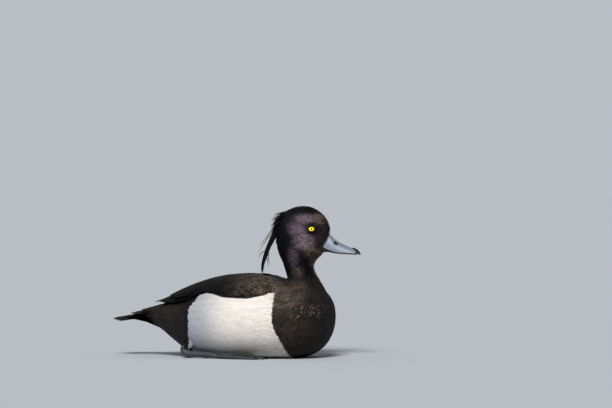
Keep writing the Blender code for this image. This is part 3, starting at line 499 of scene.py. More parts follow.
def build_marking_group():
    """Turns the stored markings into the plumage's colour, with each feather's own tone."""
    group, given, out = shader_group(
        "plumage markings",
        [
            ("Black", "NodeSocketColor", (0.01, 0.009, 0.01, 1)),
            ("Brown", "NodeSocketColor", (0.1, 0.07, 0.045, 1)),
            ("White", "NodeSocketColor", (0.8, 0.79, 0.77, 1)),
            ("Mauve", "NodeSocketColor", (0.07, 0.045, 0.06, 1)),
            ("Grey", "NodeSocketColor", (0.5, 0.53, 0.58, 1)),
            ("Grain Size", "NodeSocketFloat", 1.1),
        ],
        [("Color", "NodeSocketColor"), ("White", "NodeSocketFloat")],
    )
    marks = add_node(group, "ShaderNodeAttribute", {}, attribute_name="markings")
    parts = add_node(group, "ShaderNodeSeparateColor", {"Color": marks.outputs["Color"]})
    white_field, brown, painted_sheen = parts.outputs[:3]
    white = stretched(group, white_field, 0.46, 0.54)
    tone = marks.outputs["Alpha"]
    place = here(group)

    # Brown comes in grains, gathered in patches.
    grains_a_metre = maths(group, "DIVIDE", 1000.0, given.outputs["Grain Size"])
    speckle = stretched(group, noise(group, grains_a_metre, 2.0, 0.6, Vector=place), 0.42, 0.66)
    patches = stretched(group, noise(group, 90.0, Vector=place), 0.34, 0.62, 0.35, 1.0)
    brown_share = maths(group, "MULTIPLY", maths(group, "MULTIPLY", brown, speckle), patches)
    colour = blend_colours(group, brown_share, given.outputs["Black"], given.outputs["Brown"])
    # Painted sheen: mauve laid over the black where the cheeks would shine.
    sheen = maths(group, "MULTIPLY", painted_sheen, stretched(group, tone, 0.0, 1.0, 0.55, 1.0))
    colour = blend_colours(group, sheen, colour, given.outputs["Mauve"])

    # White turns grey-blue to the rear: fine wavy grey lines, and painted shade that darkens the
    # rear of the flank.
    length = add_node(group, "ShaderNodeSeparateXYZ", {"Vector": place}).outputs["X"]
    rearward = stretched(group, length, 0.006, -0.04)
    waves = add_node(
        group,
        "ShaderNodeTexWave",
        {"Vector": place, "Scale": 400.0, "Distortion": 8.0, "Detail": 2.0, "Detail Scale": 1.4},
        bands_direction="X",
    ).outputs["Fac"]
    rear_grey_and_shade = maths(group, "MULTIPLY", rearward, stretched(group, waves, 0.3, 0.85, 0.5, 0.95))
    pale = blend_colours(group, rear_grey_and_shade, given.outputs["White"], given.outputs["Grey"])
    colour = blend_colours(group, white, colour, pale)

    dark_tone = stretched(group, tone, 0.0, 1.0, 0.8, 1.1)
    dark_tone = maths(group, "MULTIPLY", dark_tone, maths(group, "SUBTRACT", 1.0, white))
    pale_tone = maths(group, "MULTIPLY", stretched(group, tone, 0.0, 1.0, 0.88, 1.0), white)
    bright = maths(group, "ADD", dark_tone, pale_tone)
    feed(out, {"Color": scaled(group, colour, bright), "White": white})
    return group


MARKING_GROUP = build_marking_group()


def group_node(tree, group, **values):
    """Places a group in a finish; underscores in the names stand for spaces."""
    sockets = {name.replace("_", " "): value for name, value in values.items()}
    return add_node(tree, "ShaderNodeGroup", sockets, node_tree=group)


def new_finish(name, roughness, gloss=0.5):
    """A material with its one Principled shader, and that shader."""
    finish = bpy.data.materials.new(name)
    finish.use_nodes = True
    shader = finish.node_tree.nodes["Principled BSDF"]
    feed(shader, {"Roughness": roughness, "Specular IOR Level": gloss})
    return finish, finish.node_tree, shader


def bump(tree, height, distance):
    """A normal from a height; distance is the height of 1, in metres."""
    sockets = {"Height": height, "Distance": distance}
    return add_node(tree, "ShaderNodeBump", sockets).outputs["Normal"]


skin_finish, tree, shader = new_finish("skin_ground", 0.85)
marked = group_node(tree, MARKING_GROUP)
down = bump(tree, noise(tree, 700.0, 3.0), 0.0006)
feed(shader, {"Base Color": marked.outputs["Color"], "Normal": down})
skin.data.materials.append(skin_finish)

# The body coat.
# Contour feathers in thousands, each a thin vane with a soft ridge, rooted in the skin and laid
# like tiles from the bill backwards: tiny on the face, long on the flanks.

# A feather's stations: share of its length and of its width; a cut across it: aside and up.
TUFT_STATIONS = [(0.0, 0.5), (0.35, 1.0), (0.75, 0.75), (1.0, 0.12)]
THIN_CUT = [(-1.0, 0.0), (0.0, 1.0), (1.0, 0.0), (0.0, -0.6)]
# Side of a feather's patch on the map for baking, as a share of the map.
PATCH = 0.003
FLOOR_CLEARANCE = 0.15
# Lengths of the feathers: beside the bill, more over the face, more down the neck; then the body.
BILL_TUFT = 2.3
FACE_LONGER = 2.8
NECK_LONGER = 3.2
BREAST_FEATHER = 9.0
BACK_FEATHER = 15.0
FLANK_LONGER = 11.0
BREAST_GAP = 1.3
BACK_GAP = 2.0
BODY_RISE = COAT_DEPTH - 0.3
BODY_THICK = 0.04
# Half width of a body feather as a share of its length, and what the breast adds to it.
BODY_SLIMNESS = 0.085
BREAST_FULLER = 0.01
BREAST_STARTS = 46.0
SCATTER_TRIES = 9
ROOT_DEPTH = 0.4
PALE_TIP_SHARE = 0.16
FEATHER_ROLL = 0.06
FEATHER_TURN = 0.06
# A feather whose lie runs straight into the skin, with less than this along it, is left out.
LEAST_LIE = 0.0001


class Coat:
    """Gathers the vanes of one piece of plumage and makes them one mesh."""

    def __init__(self):
        self.points = []
        self.faces = []
        self.vane_places = []
        self.patch_places = []
        self.marks = []
        self.tones = []

    def add(self, rings, stations, cut, marks, tone, patch_at, patch=PATCH):
        """Adds a vane whose rings of points follow the stations and the cut; marks are by ring."""
        first = len(self.points)
        sides = len(cut)
        for ring, (share, width) in zip(rings, stations):
            for point, (across, rise) in zip(ring, cut):
                self.points.append(point)
                self.vane_places.append((0.5 + 0.5 * across, share))
                corner = (patch_at[0] + patch * 0.5 * across, patch_at[1] + patch * (share - 0.5))
                self.patch_places.append(corner)
        self.faces += loft_faces(len(rings), sides, first)
        for mark in marks:
            self.marks += [mark] * sides
        self.tones += [tone] * (len(rings) * sides)

    def build(self, name, finish, slot):
        mesh = bpy.data.meshes.new(name)
        points = np.array(self.points, dtype=float)
        points[:, 2] = np.maximum(points[:, 2], FLOOR_CLEARANCE)
        mesh.from_pydata((points * MM).tolist(), [], self.faces)
        corners = np.empty(len(mesh.loops), dtype=np.int32)
        mesh.loops.foreach_get("vertex_index", corners)
        for label, places in (("OFBake", self.patch_places), ("vane", self.vane_places)):
            layer = mesh.uv_layers.new(name=label)
            layer.data.foreach_set("uv", np.array(places, dtype=np.float32)[corners].ravel())
        paint_markings(mesh, self.marks, self.tones)
        mesh.shade_smooth()
        self.keep_edges_sharp(mesh)
        mesh.materials.append(finish)
        obj = in_scene(name, mesh)
        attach(obj, "root")
        return obj

    def keep_edges_sharp(self, mesh):
        """Lets each vane's upper face end at its rims, so that it shades as a flat blade."""
        ends = np.empty(len(mesh.edges) * 2, dtype=np.int32)
        mesh.edges.foreach_get("vertices", ends)
        near, far = np.array(self.vane_places)[ends.reshape(-1, 2)].transpose(1, 0, 2)
        on_rim = (near[:, 0] == far[:, 0]) & ((near[:, 0] == 0.0) | (near[:, 0] == 1.0))
        at_end = (near[:, 1] == far[:, 1]) & ((near[:, 1] == 0.0) | (near[:, 1] == 1.0))
        sharp = mesh.attributes.new("sharp_edge", "BOOLEAN", "EDGE")
        sharp.data.foreach_set("value", on_rim | at_end)


def lie_of_coat(point):
    """The way feathers point: away from the bill on head and neck, to the tail on the body."""
    from_bill = (point - BILL_ROOT).normalized()
    to_tail = Vector((-1.0, 0.0, 0.0))
    on_breast = ramp(point.x, 28.0, 84.0) * 0.8
    on_neck = ramp(point.z, 74.0, 92.0) * ramp(point.x, *NECK_ALONG)
    share = max(on_breast, on_neck)
    return from_bill * share + to_tail * (1 - share)


def feather_size(point):
    """Length of the contour feathers at a place, and the gap between their roots."""
    if point.z > NECK_ROOT[1] and point.x > NECK_ROOT[0] + 4.0:
        face = ramp((point - BILL_ROOT).length, 8.0, 34.0)
        neck = 1 - ramp(point.z, 84.0, 116.0)
        length = BILL_TUFT + FACE_LONGER * face + NECK_LONGER * neck
        return length, length * 0.2
    on_flank = ramp(abs(point.y), 30.0, 50.0) * ramp(point.x, -80.0, -52.0)
    on_flank *= ramp(point.z, 4.0, 18.0)
    on_body = 1 - ramp(point.x, 42.0, 52.0)
    body_length = BACK_FEATHER + FLANK_LONGER * on_flank
    length = BREAST_FEATHER + (body_length - BREAST_FEATHER) * on_body
    return length, BREAST_GAP + (BACK_GAP - BREAST_GAP) * on_body


def lay_feather(coat, root, normal, length, half, rise, curve, thick, draw):
    """One feather from its root, laid back over the skin along the lie of the coat.

    The higher the curve, the sooner it is up at its full height and the smoother the coat.
    """
    ahead = lie_of_coat(root)
    ahead = ahead - normal * ahead.dot(normal)
    if ahead.length < LEAST_LIE:
        return
    ahead.normalize()
    ahead = (ahead + normal.cross(ahead) * draw.gauss(0.0, FEATHER_TURN)).normalized()
    roll = draw.uniform(-FEATHER_ROLL, FEATHER_ROLL)
    shift = draw.uniform(-0.8, 0.8)
    rings = []
    marks = []
    middle, facing = root, normal
    travelled = 0.0
    for share, width in TUFT_STATIONS:
        if share > 0:
            step = (share - travelled) * length
            spot = SKIN_TREE.find_nearest(middle + ahead * step)
            middle, facing = spot[0], (facing + spot[1]).normalized()
            ahead = ahead * 0.75 + lie_of_coat(middle) * 0.25
            ahead = (ahead - facing * ahead.dot(facing)).normalized()
            travelled = share
        aside = facing.cross(ahead)
        height = (rise + ROOT_DEPTH) * (1 - (1 - share) ** curve) - ROOT_DEPTH
        feet = {0.0: (middle, facing)}
        ring = []
        for across, top in THIN_CUT:
            if across not in feet:
                away = aside * (across * half * width)
                feet[across] = SKIN_TREE.find_nearest(middle + away)[:2]
            foot, up = feet[across]
            up = (up + facing).normalized()
            ring.append(foot + up * (height + roll * across * width + top * thick))
        rings.append(ring)
        marks.append(markings(middle + facing * height + Vector((shift, 0.0, 0.0))))
    if draw.random() > marks[-1][3] * PALE_TIP_SHARE:
        marks = [(white, brown, painted_sheen, 0.0) for white, brown, painted_sheen, pale in marks]
    coat.add(rings, TUFT_STATIONS, THIN_CUT, marks, draw.random(), unwrap(root))


def scatter(region, draw, narrowest):
    """Even, irregular roots on the skin's faces that lie in a region, with their normals."""
    polygons = skin.data.polygons
    chosen = [polygon.index for polygon in polygons if region(polygon.center / MM)]
    areas = np.array([polygons[index].area for index in chosen]) / MM**2
    count = int(areas.sum() / narrowest**2 * SCATTER_TRIES)
    source = np.random.default_rng(draw.randrange(10**6))
    picks = source.choice(len(chosen), size=count, p=areas / areas.sum())
    widest = max(feather_size(polygons[index].center / MM)[1] for index in chosen[::40])
    cells = {}
    roots = []
    for pick in picks:
        polygon = polygons[chosen[pick]]
        corners = [Vector(skin_points[index]) for index in polygon.vertices]
        shares = [draw.random() for corner in corners]
        place = sum((corner * share for corner, share in zip(corners, shares)), Vector())
        place /= sum(shares)
        gap = feather_size(place)[1]
        key = [int(math.floor(coordinate / widest)) for coordinate in place]
        near = (
            other
            for x, y, z in itertools.product((-1, 0, 1), repeat=3)
            for other in cells.get((key[0] + x, key[1] + y, key[2] + z), ())
        )
        if all((other - place).length_squared >= gap * gap for other in near):
            cells.setdefault(tuple(key), []).append(place)
            roots.append((place, polygon.normal.copy()))
    return roots


# Slant and wobble of the barbs in barbs, their height against the shaft's, half the shaft's width.
BARB_SLANT = 6.0
BARB_WOBBLE = 0.9
BARB_HEIGHT = 0.4
SHAFT_WIDTH = 0.08


def build_vane_group():
    """Fine relief of one vane: barbs that slant from the shaft, the shaft, and the rim."""
    group, given, out = shader_group(
        "vane relief",
        [("Barbs", "NodeSocketFloat", 26.0)],
        [(name, "NodeSocketFloat") for name in ("Height", "Rim", "Tip", "Barb Shade")],
    )
    place = add_node(group, "ShaderNodeUVMap", {}, uv_map="vane").outputs["UV"]
    parts = add_node(group, "ShaderNodeSeparateXYZ", {"Vector": place})
    centred = maths(group, "MULTIPLY_ADD", parts.outputs["X"], 2.0, -1.0)
    across = maths(group, "ABSOLUTE", centred)
    along = parts.outputs["Y"]
    phase = maths(group, "MULTIPLY", along, given.outputs["Barbs"])
    phase = maths(group, "SUBTRACT", phase, maths(group, "MULTIPLY", across, BARB_SLANT))
    wobble = noise(group, 260.0, Vector=here(group))
    phase = maths(group, "ADD", phase, maths(group, "MULTIPLY", wobble, BARB_WOBBLE))
    wave = maths(group, "SINE", maths(group, "MULTIPLY", phase, math.tau))
    barbs = maths(group, "MULTIPLY_ADD", wave, 0.5, 0.5)
    shaft = stretched(group, across, 0.0, SHAFT_WIDTH, 1.0, 0.0)
    height = maths(group, "ADD", maths(group, "MULTIPLY", barbs, BARB_HEIGHT), shaft)
    rim = stretched(group, maths(group, "MAXIMUM", across, along), 0.72, 1.0)
    tip = stretched(group, along, 0.75, 0.95)
    feed(out, {"Height": height, "Rim": rim, "Tip": tip, "Barb Shade": barbs})
    return group


VANE_GROUP = build_vane_group()
# Rims of brown feathers: partly their own brown edges, partly painted sunlight on the edges.
FRINGE_BROWN_AND_SUNLIT = (0.17, 0.125, 0.085, 1)
PALE_TIP = (0.33, 0.285, 0.23, 1)
WHITE_ROUGHNESS = 0.75


def plumage_finish(name, roughness, gloss, barbs, fringe, relief, **colours):
    """A finish of barbed vanes over the stored markings; fringe is how brown their rims are, partly
    painted sunlight on the feathers' edges.
    """
    finish, tree, shader = new_finish(name, roughness, gloss)
    marked = group_node(tree, MARKING_GROUP, **colours)
    white = marked.outputs["White"]
    vane = group_node(tree, VANE_GROUP, Barbs=barbs)
    marks = stored(tree, "markings", "Color")
    brown = add_node(tree, "ShaderNodeSeparateColor", {"Color": marks}).outputs[1]
    rim = maths(tree, "MULTIPLY", vane.outputs["Rim"], maths(tree, "MULTIPLY", brown, fringe))
    colour = blend_colours(tree, rim, marked.outputs["Color"], FRINGE_BROWN_AND_SUNLIT)
    tip = maths(tree, "MULTIPLY", vane.outputs["Tip"], stored(tree, "pale_tips"))
    colour = blend_colours(tree, tip, colour, PALE_TIP)
    shade = stretched(tree, vane.outputs["Barb Shade"], 0.0, 1.0, 0.86, 1.0)
    sockets = {
        "Base Color": scaled(tree, colour, shade),
        "Roughness": stretched(tree, white, 0.0, 1.0, roughness, WHITE_ROUGHNESS),
        "Normal": bump(tree, vane.outputs["Height"], relief),
        "Subsurface Weight": maths(tree, "MULTIPLY", white, 0.25),
        "Subsurface Radius": (1.0, 0.92, 0.84),
        "Subsurface Scale": 0.0015,
    }
    feed(shader, sockets)
    return finish


body_finish = plumage_finish(
    "body_plumage",
    roughness=0.62,
    gloss=0.1,
    barbs=40.0,
    fringe=0.4,
    relief=0.00003,
    Black=(0.0044, 0.004, 0.0042, 1),
    Brown=(0.185, 0.145, 0.118, 1),
    White=(0.76, 0.72, 0.67, 1),
    # Grey: the rear flank's wavy lines and its painted shade.
    Grey=(0.22, 0.27, 0.35, 1),
)


def on_head(place):
    return place.z > 88.0 and place.x > 20.0


def clothe_body():
    """Breast, back, flanks, belly and rear in overlapping contour feathers."""
    draw = random.Random(8)
    roots = scatter(lambda place: not on_head(place), draw, BREAST_GAP)
    coats = {"breast": Coat(), "left": Coat(), "right": Coat()}
    for root, normal in roots:
        length = feather_size(root)[0] * draw.uniform(0.9, 1.12)
        under_belly = root.z < 3.5 and normal.z < -0.9
        if under_belly:
            length *= 0.8
        key = "breast" if root.x > BREAST_STARTS else ("left" if root.y > 0 else "right")
        on_breast = ramp(root.x, 36.0, 56.0)
        rise = BODY_RISE + draw.uniform(-0.03, 0.03)
        half = length * (BODY_SLIMNESS + BREAST_FULLER * on_breast)
        curve = 5.5 - 2.0 * on_breast
        lay_feather(coats[key], root, normal, length, half, rise, curve, BODY_THICK, draw)
    for key, coat in coats.items():
        coat.build("body_coat_" + key, body_finish, "body_feathers")


clothe_body()

# The eyes.
# Glass-clear balls with a golden iris, which has a faint painted glow, and a small pupil, deep in
# the head, with dark bare lids drawn over them so that a slightly flattened round shows.
EYE_PLACE = (14.4, 13.8, 136.5)
EYE_RADIUS = 5.0
EYE_FORWARD = math.radians(12.0)
PUPIL_RADIUS = 0.95
IRIS_RADIUS = 3.3
LID_OPENING = (2.45, 1.85)
LID_HALF_WIDE = 1.05
LID_HALF_THICK = 0.42
UPPER_LID_SHARE = 1.15
LID_STEPS = 48
LID_CORNERS = 10


def eye_frame(side):
    """The eye's centre and its directions: forward, up and out of the head."""
    turn = HEAD_TURN + side * (math.pi / 2 - EYE_FORWARD)
    out = Vector((math.cos(turn), math.sin(turn), 0.0))
    ahead = Vector((-out.y, out.x, 0.0)) * -side
    centre = head_place(EYE_PLACE[0], side * EYE_PLACE[1], EYE_PLACE[2])
    return centre, ahead, Vector((0, 0, 1)), out


eye_finish, tree, shader = new_finish("golden_eye", 0.06, 0.2)
parts = add_node(tree, "ShaderNodeSeparateXYZ", {"Vector": here(tree)}).outputs
flat = add_node(tree, "ShaderNodeCombineXYZ", {"X": parts["X"], "Y": parts["Y"]}).outputs[0]
radius = add_node(tree, "ShaderNodeVectorMath", {0: flat}, operation="LENGTH").outputs["Value"]
turned = maths(tree, "MULTIPLY", maths(tree, "ARCTAN2", parts["Y"], parts["X"]), 9.0)
streaks = add_node(
    tree, "ShaderNodeTexNoise", {"W": turned, "Scale": 1.0}, noise_dimensions="1D"
).outputs["Fac"]
streaks = stretched(tree, streaks, 0.3, 0.7)
iris = blend_colours(tree, streaks, (0.72, 0.52, 0.0, 1), (0.88, 0.74, 0.0, 1))
rim = stretched(tree, radius, (IRIS_RADIUS - 0.35) * MM, IRIS_RADIUS * MM)
iris = blend_colours(tree, rim, iris, (0.03, 0.02, 0.01, 1))
off_pupil = stretched(tree, radius, PUPIL_RADIUS * MM, (PUPIL_RADIUS + 0.18) * MM)
iris = blend_colours(tree, off_pupil, (0.003, 0.003, 0.003, 1), iris)
# Painted light: the golden iris glows faintly, though it is no lamp.
iris_glow = maths(tree, "MULTIPLY", off_pupil, maths(tree, "SUBTRACT", 1.0, rim))
sockets = {
    "Base Color": iris,
    "Emission Color": (1.0, 0.8, 0.0, 1),
    "Emission Strength": maths(tree, "MULTIPLY", iris_glow, 0.12),
    "Coat Weight": 0.3,
    "Coat Roughness": 0.02,
}
feed(shader, sockets)

lid_finish, tree, shader = new_finish("lid_skin", 0.75, 0.1)
crease = noise(tree, 1500.0)
lid_colour = blend_colours(tree, crease, (0.004, 0.004, 0.004, 1), (0.013, 0.011, 0.011, 1))
feed(shader, {"Base Color": lid_colour, "Normal": bump(tree, crease, 0.0002)})


def build_eye(side, name):
    centre, ahead, up, out = eye_frame(side)
    shape = bmesh.new()
    bmesh.ops.create_uvsphere(shape, u_segments=48, v_segments=32, radius=EYE_RADIUS * MM)
    mesh = bpy.data.meshes.new("eyeball_" + name)
    shape.to_mesh(mesh)
    shape.free()
    mesh.shade_smooth()
    mesh.materials.append(eye_finish)
    ball = in_scene("eyeball_" + name, mesh)
    turn = Matrix((up.cross(out), up, out)).transposed().to_4x4()
    ball.matrix_world = Matrix.Translation(centre * MM) @ turn
    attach(ball, "root")
    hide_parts("eye_" + name)

    points = []
    faces = []
    for step in range(LID_STEPS):
        angle = math.tau * step / LID_STEPS
        lid = UPPER_LID_SHARE if math.sin(angle) > 0 else 1.0
        away = ahead * LID_OPENING[0] * math.cos(angle) + up * LID_OPENING[1] * math.sin(angle)
        outward = away.normalized()
        away = away + outward * LID_HALF_WIDE * lid
        middle = centre + away + out * math.sqrt((EYE_RADIUS + 0.05) ** 2 - away.length**2)
        slope = (outward - out * away.length / EYE_RADIUS * 0.6).normalized()
        here_at = step * LID_CORNERS
        next_at = (step + 1) % LID_STEPS * LID_CORNERS
        for corner in range(LID_CORNERS):
            swing = math.tau * corner / LID_CORNERS
            offset = slope * math.cos(swing) * LID_HALF_WIDE * lid
            points.append(middle + offset + out * math.sin(swing) * LID_HALF_THICK * lid)
            beside = (corner + 1) % LID_CORNERS
            faces.append([here_at + corner, here_at + beside, next_at + beside, next_at + corner])
    lids = turned_outwards(add_mesh("lids_" + name, points, faces))
    lids.data.materials.append(lid_finish)
    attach(lids, "root")


build_eye(1, "left")
build_eye(-1, "right")

# The head's coat.
# Short silky tufts, black with a painted mauve sheen on the cheeks and some brown at brow and chin;
# they part round the eye and stop at the edge of the bill.
head_finish = plumage_finish(
    "head_plumage",
    roughness=0.52,
    gloss=0.06,
    barbs=8.0,
    fringe=0.2,
    relief=0.00004,
    Black=(0.0035, 0.003, 0.0042, 1),
    Brown=(0.3, 0.215, 0.155, 1),
    # Mauve: the colour of the painted sheen on the cheeks.
    Mauve=(0.18, 0.135, 0.172, 1),
    Grain_Size=1.6,
)
HEAD_GAP = 0.62
HEAD_RISE = COAT_DEPTH - 0.1
HEAD_CURVE = 2.2
HEAD_THICK = 0.08
SHORTEST_TUFT = 1.0
# How far the tufts stay off the middle of the eye and of the bill's root.
EYE_CLEAR = 3.6
BILL_CLEAR = 8.7


def clear_of_eye(local, length):
    """How long a tuft rooted here may be before it would lie over the eye."""
    lie = Vector((local.x - BILL_ROOT_AT[0], local.z - BILL_ROOT_AT[1])).normalized()
    for step in range(9):
        share = step / 8
        forward = local.x + lie.x * length * share - EYE_PLACE[0]
        height = local.z + lie.y * length * share - EYE_PLACE[2]
        if math.hypot(forward, height * 1.12) < EYE_CLEAR and abs(local.y) > 8.0:
            return length * share
    return length


def clothe_head():
    """Head and upper neck, in two pieces that meet along the middle."""
    draw = random.Random(3)
    coats = {"left": Coat(), "right": Coat()}
    for root, normal in scatter(on_head, draw, HEAD_GAP):
        local = in_head(root)
        if Vector((local.x - 37.0, local.y * 1.1, local.z - 121.5)).length < BILL_CLEAR:
            continue
        length = clear_of_eye(local, feather_size(root)[0] * draw.uniform(0.88, 1.15))
        if length < SHORTEST_TUFT:
            continue
        rise = HEAD_RISE + draw.uniform(-0.12, 0.2)
        coat = coats["left" if local.y > 0 else "right"]
        half = length * 0.1
        lay_feather(coat, root, normal, length, half, rise, HEAD_CURVE, HEAD_THICK, draw)
    for side, coat in coats.items():
        coat.build("head_coat_" + side, head_finish, "head_feathers")


clothe_head()

# The bill.
# A broad horny sheath, pale blue-grey, over the upper jaw, with open nostrils and a dark cutting
# edge, and painted shade in the nostrils, up towards the ridge and beneath; a hooked black nail at
# its tip;
# and a blackish lower jaw that shows as a wedge at the gape.

# Each part in rows: distance from the neck's axis, heights of the ridge and the edge, half width.
UPPER_BILL = [
    (22.0, 131.0, 118.6, 7.4),
    (28.0, 131.0, 116.3, 8.2),
    (31.0, 131.6, 115.0, 8.8),
    (33.8, 131.2, 113.9, 9.4),
    (36.0, 129.6, 113.1, 9.8),
    (38.2, 127.2, 112.4, 10.1),
    (40.6, 124.9, 111.8, 10.2),
    (43.0, 123.2, 111.4, 10.3),
    (47.0, 120.9, 110.9, 10.6),
    (52.0, 118.5, 110.5, 11.1),
    (57.0, 116.4, 110.3, 11.5),
    (61.0, 114.7, 110.2, 11.0),
    (64.0, 113.0, 110.1, 8.8),
    (65.8, 111.8, 109.9, 5.6),
    (66.5, 111.0, 109.8, 2.4),
]
LOWER_BILL = [
    (20.0, 118.0, 112.0, 8.6),
    (27.0, 117.6, 112.3, 9.2),
    (33.8, 115.0, 112.1, 9.4),
    (42.0, 112.6, 110.9, 9.1),
    (52.0, 111.0, 109.7, 9.5),
    (59.0, 110.7, 109.4, 9.3),
    (62.5, 110.6, 109.3, 6.4),
    (64.0, 110.2, 109.3, 2.6),
]
NAIL = [
    (56.8, 115.6, 114.8, 1.4),
    (58.4, 116.4, 113.6, 2.8),
    (60.5, 116.1, 112.2, 3.7),
    (63.0, 115.0, 110.8, 3.9),
    (65.2, 113.3, 109.8, 3.4),
    (66.6, 111.4, 109.0, 2.3),
    (67.3, 109.9, 108.6, 1.2),
]
NOSTRIL_PLACE = (41.0, 121.2)
NOSTRIL_HALF_SIZES = (2.9, 1.5)
NOSTRIL_SLANT = math.radians(32.0)
NOSTRIL_DEPTH = 1.5
# How full the arch is to the sides and to the ridge, how far it bulges beneath, and the painted
# shade up towards the ridge.
ARCH_POWERS = (0.8, 0.9)
UNDER_BULGE = 0.12
RIDGE_SHADE = 0.34


def nostril_share(forward, height):
    """1 in the nostril, 0 outside it."""
    ahead, above = forward - NOSTRIL_PLACE[0], height - NOSTRIL_PLACE[1]
    along = ahead * math.cos(NOSTRIL_SLANT) - above * math.sin(NOSTRIL_SLANT)
    over = ahead * math.sin(NOSTRIL_SLANT) + above * math.cos(NOSTRIL_SLANT)
    away = math.hypot(along / NOSTRIL_HALF_SIZES[0], over / NOSTRIL_HALF_SIZES[1])
    return 1 - ramp(away, 0.7, 1.15)


def nail_shade(forward):
    """From where to where, off the middle, the black of the bill's tip fades out."""
    reach = 3.7 + 1.3 * max(forward - 58.0, 0.0)
    return reach, reach + 1.3


def bill_shell(name, rows, finish, rings, sides, carved=False):
    """An arched body along the head's forward direction, nearly flat beneath."""
    points = []
    dark = []
    for forward, ridge, edge, half in spline(rows, rings):
        for side in range(sides):
            angle = math.tau * (side + 0.5) / sides
            across = half * signed_power(math.cos(angle), ARCH_POWERS[0])
            lift = math.sin(angle)
            if lift > 0:
                height = edge + (ridge - edge) * signed_power(lift, ARCH_POWERS[1])
            else:
                height = edge + UNDER_BULGE * (ridge - edge) * lift
            # The nostrils are dented in and painted black: painted shade in the opening.
            hollow = nostril_share(forward, height) if carved and abs(across) > 3.0 else 0.0
            across -= math.copysign(NOSTRIL_DEPTH * hollow, across)
            cutting_edge = 1 - ramp(height - edge, 0.15, 0.8)
            toward_tip = 0.3 + 0.7 * ramp(forward, 46.0, 54.0)
            round_nail = ramp(forward, 57.0, 58.6) * (1 - ramp(abs(across), *nail_shade(forward)))
            # Painted shade: the upper sides darken towards the ridge.
            painted_ridge_shade = RIDGE_SHADE * ramp((height - edge) / (ridge - edge), 0.45, 0.95)
            # Painted shade: the sheath's downward-facing underside is black.
            painted_underside_shade = 1.0 if lift < 0 else 0.0
            shade = max(hollow, cutting_edge * toward_tip, round_nail, painted_ridge_shade, painted_underside_shade)
            dark.append(shade if carved else 0.0)
            points.append(head_place(forward, across, height))
    shell = turned_outwards(add_mesh(name, points, loft_faces(rings, sides)))
    # The "dark" attribute holds the nail's black, the cutting edge's dark strip, and painted shade
    # in the nostrils, towards the ridge and beneath.
    layer = shell.data.attributes.new("dark", "FLOAT", "POINT")
    layer.data.foreach_set("value", dark)
    shell.data.materials.append(finish)
    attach(shell, "root")
    return shell


bill_finish, tree, shader = new_finish("blue_grey_horn", 0.34)
cloud = noise(tree, 130.0, 4.0)
fine = noise(tree, 1400.0, 3.0)
clouded = stretched(tree, cloud, 0.3, 0.7)
horn = blend_colours(tree, clouded, (0.09, 0.118, 0.158, 1), (0.165, 0.2, 0.25, 1))
flecks = stretched(tree, fine, 0.55, 0.75, 0.0, 0.15)
horn = blend_colours(tree, flecks, horn, (0.36, 0.39, 0.43, 1))
# Black from the stored "dark": the nail's own black and the cutting edge, with painted shade in the
# nostrils, towards the ridge and beneath.
black_tip_and_painted_shade = stretched(tree, stored(tree, "dark"), 0.2, 0.75)
horn = blend_colours(tree, black_tip_and_painted_shade, horn, (0.006, 0.006, 0.007, 1))
sockets = {
    "Base Color": horn,
    "Roughness": stretched(tree, cloud, 0.3, 0.7, 0.28, 0.44),
    "Normal": bump(tree, fine, 0.00012),
}
feed(shader, sockets)

black_horn_finish, tree, shader = new_finish("black_horn", 0.5, 0.05)
fine = noise(tree, 1100.0, 3.0)
black = blend_colours(tree, fine, (0.003, 0.003, 0.0035, 1), (0.009, 0.0085, 0.009, 1))
feed(shader, {"Base Color": black, "Normal": bump(tree, fine, 0.0001)})

upper = bill_shell("bill_upper_horn", UPPER_BILL, bill_finish, rings=170, sides=110, carved=True)
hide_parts("bill_upper")
lower = bill_shell("bill_lower_horn", LOWER_BILL, black_horn_finish, rings=60, sides=48)
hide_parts("bill_lower")
nail = bill_shell("bill_nail_horn", NAIL, black_horn_finish, rings=30, sides=40)
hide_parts("bill_nail")

# The crest.
# Long limp plumes from the rear crown that hang behind the nape in one tapering tuft, with a few
# stray wisps, and short ruffled plumes above them.

# Places along the tuft, forward and up in the head's directions.
CREST_LINE = [
    (-20.0, 138.0), (-24.0, 130.0), (-28.4, 121.1), (-32.2, 112.3),
    (-34.8, 104.8), (-36.5, 97.0), (-37.0, 89.6),
]
CREST_STEPS = 60
CREST_ROOT = (-15.5, 141.0)
# The rear crown that the ruffled plumes stand on: middle and half sizes in the head's directions,
# and the stretch of it that they cover, in degrees back from the top.
CROWN_MIDDLE = Vector((-1.0, 0.0, 137.5))
CROWN_HALF_SIZES = (21.4, 11.5, 21.0)
RUFFLES_FROM = 24.0
RUFFLES_OVER = 78.0
LONG_PLUMES = 260
RUFFLED_PLUMES = 300
PLUME_HALF_THICK = 0.2
WISP_HALF_SIZES = (0.42, 0.3)
PLUME_CUT = [(-1.0, 0.0), (0.0, 1.0), (1.0, 0.0), (0.0, -1.0)]
# Stray wisps: start, bend and end, in the same directions.
WISPS = [
    ((-25.5, 137.0), (-33.0, 126.0), (-40.5, 117.0)),
    ((-25.0, 134.0), (-35.0, 122.0), (-41.5, 110.0)),
    ((-34.0, 113.0), (-41.5, 109.5), (-39.5, 104.5)),
    ((-31.5, 112.5), (-30.5, 104.0), (-28.2, 97.2)),
    ((-32.5, 109.0), (-31.5, 103.0), (-30.6, 96.0)),
    ((-30.0, 116.0), (-29.6, 108.0), (-31.6, 101.5)),
]


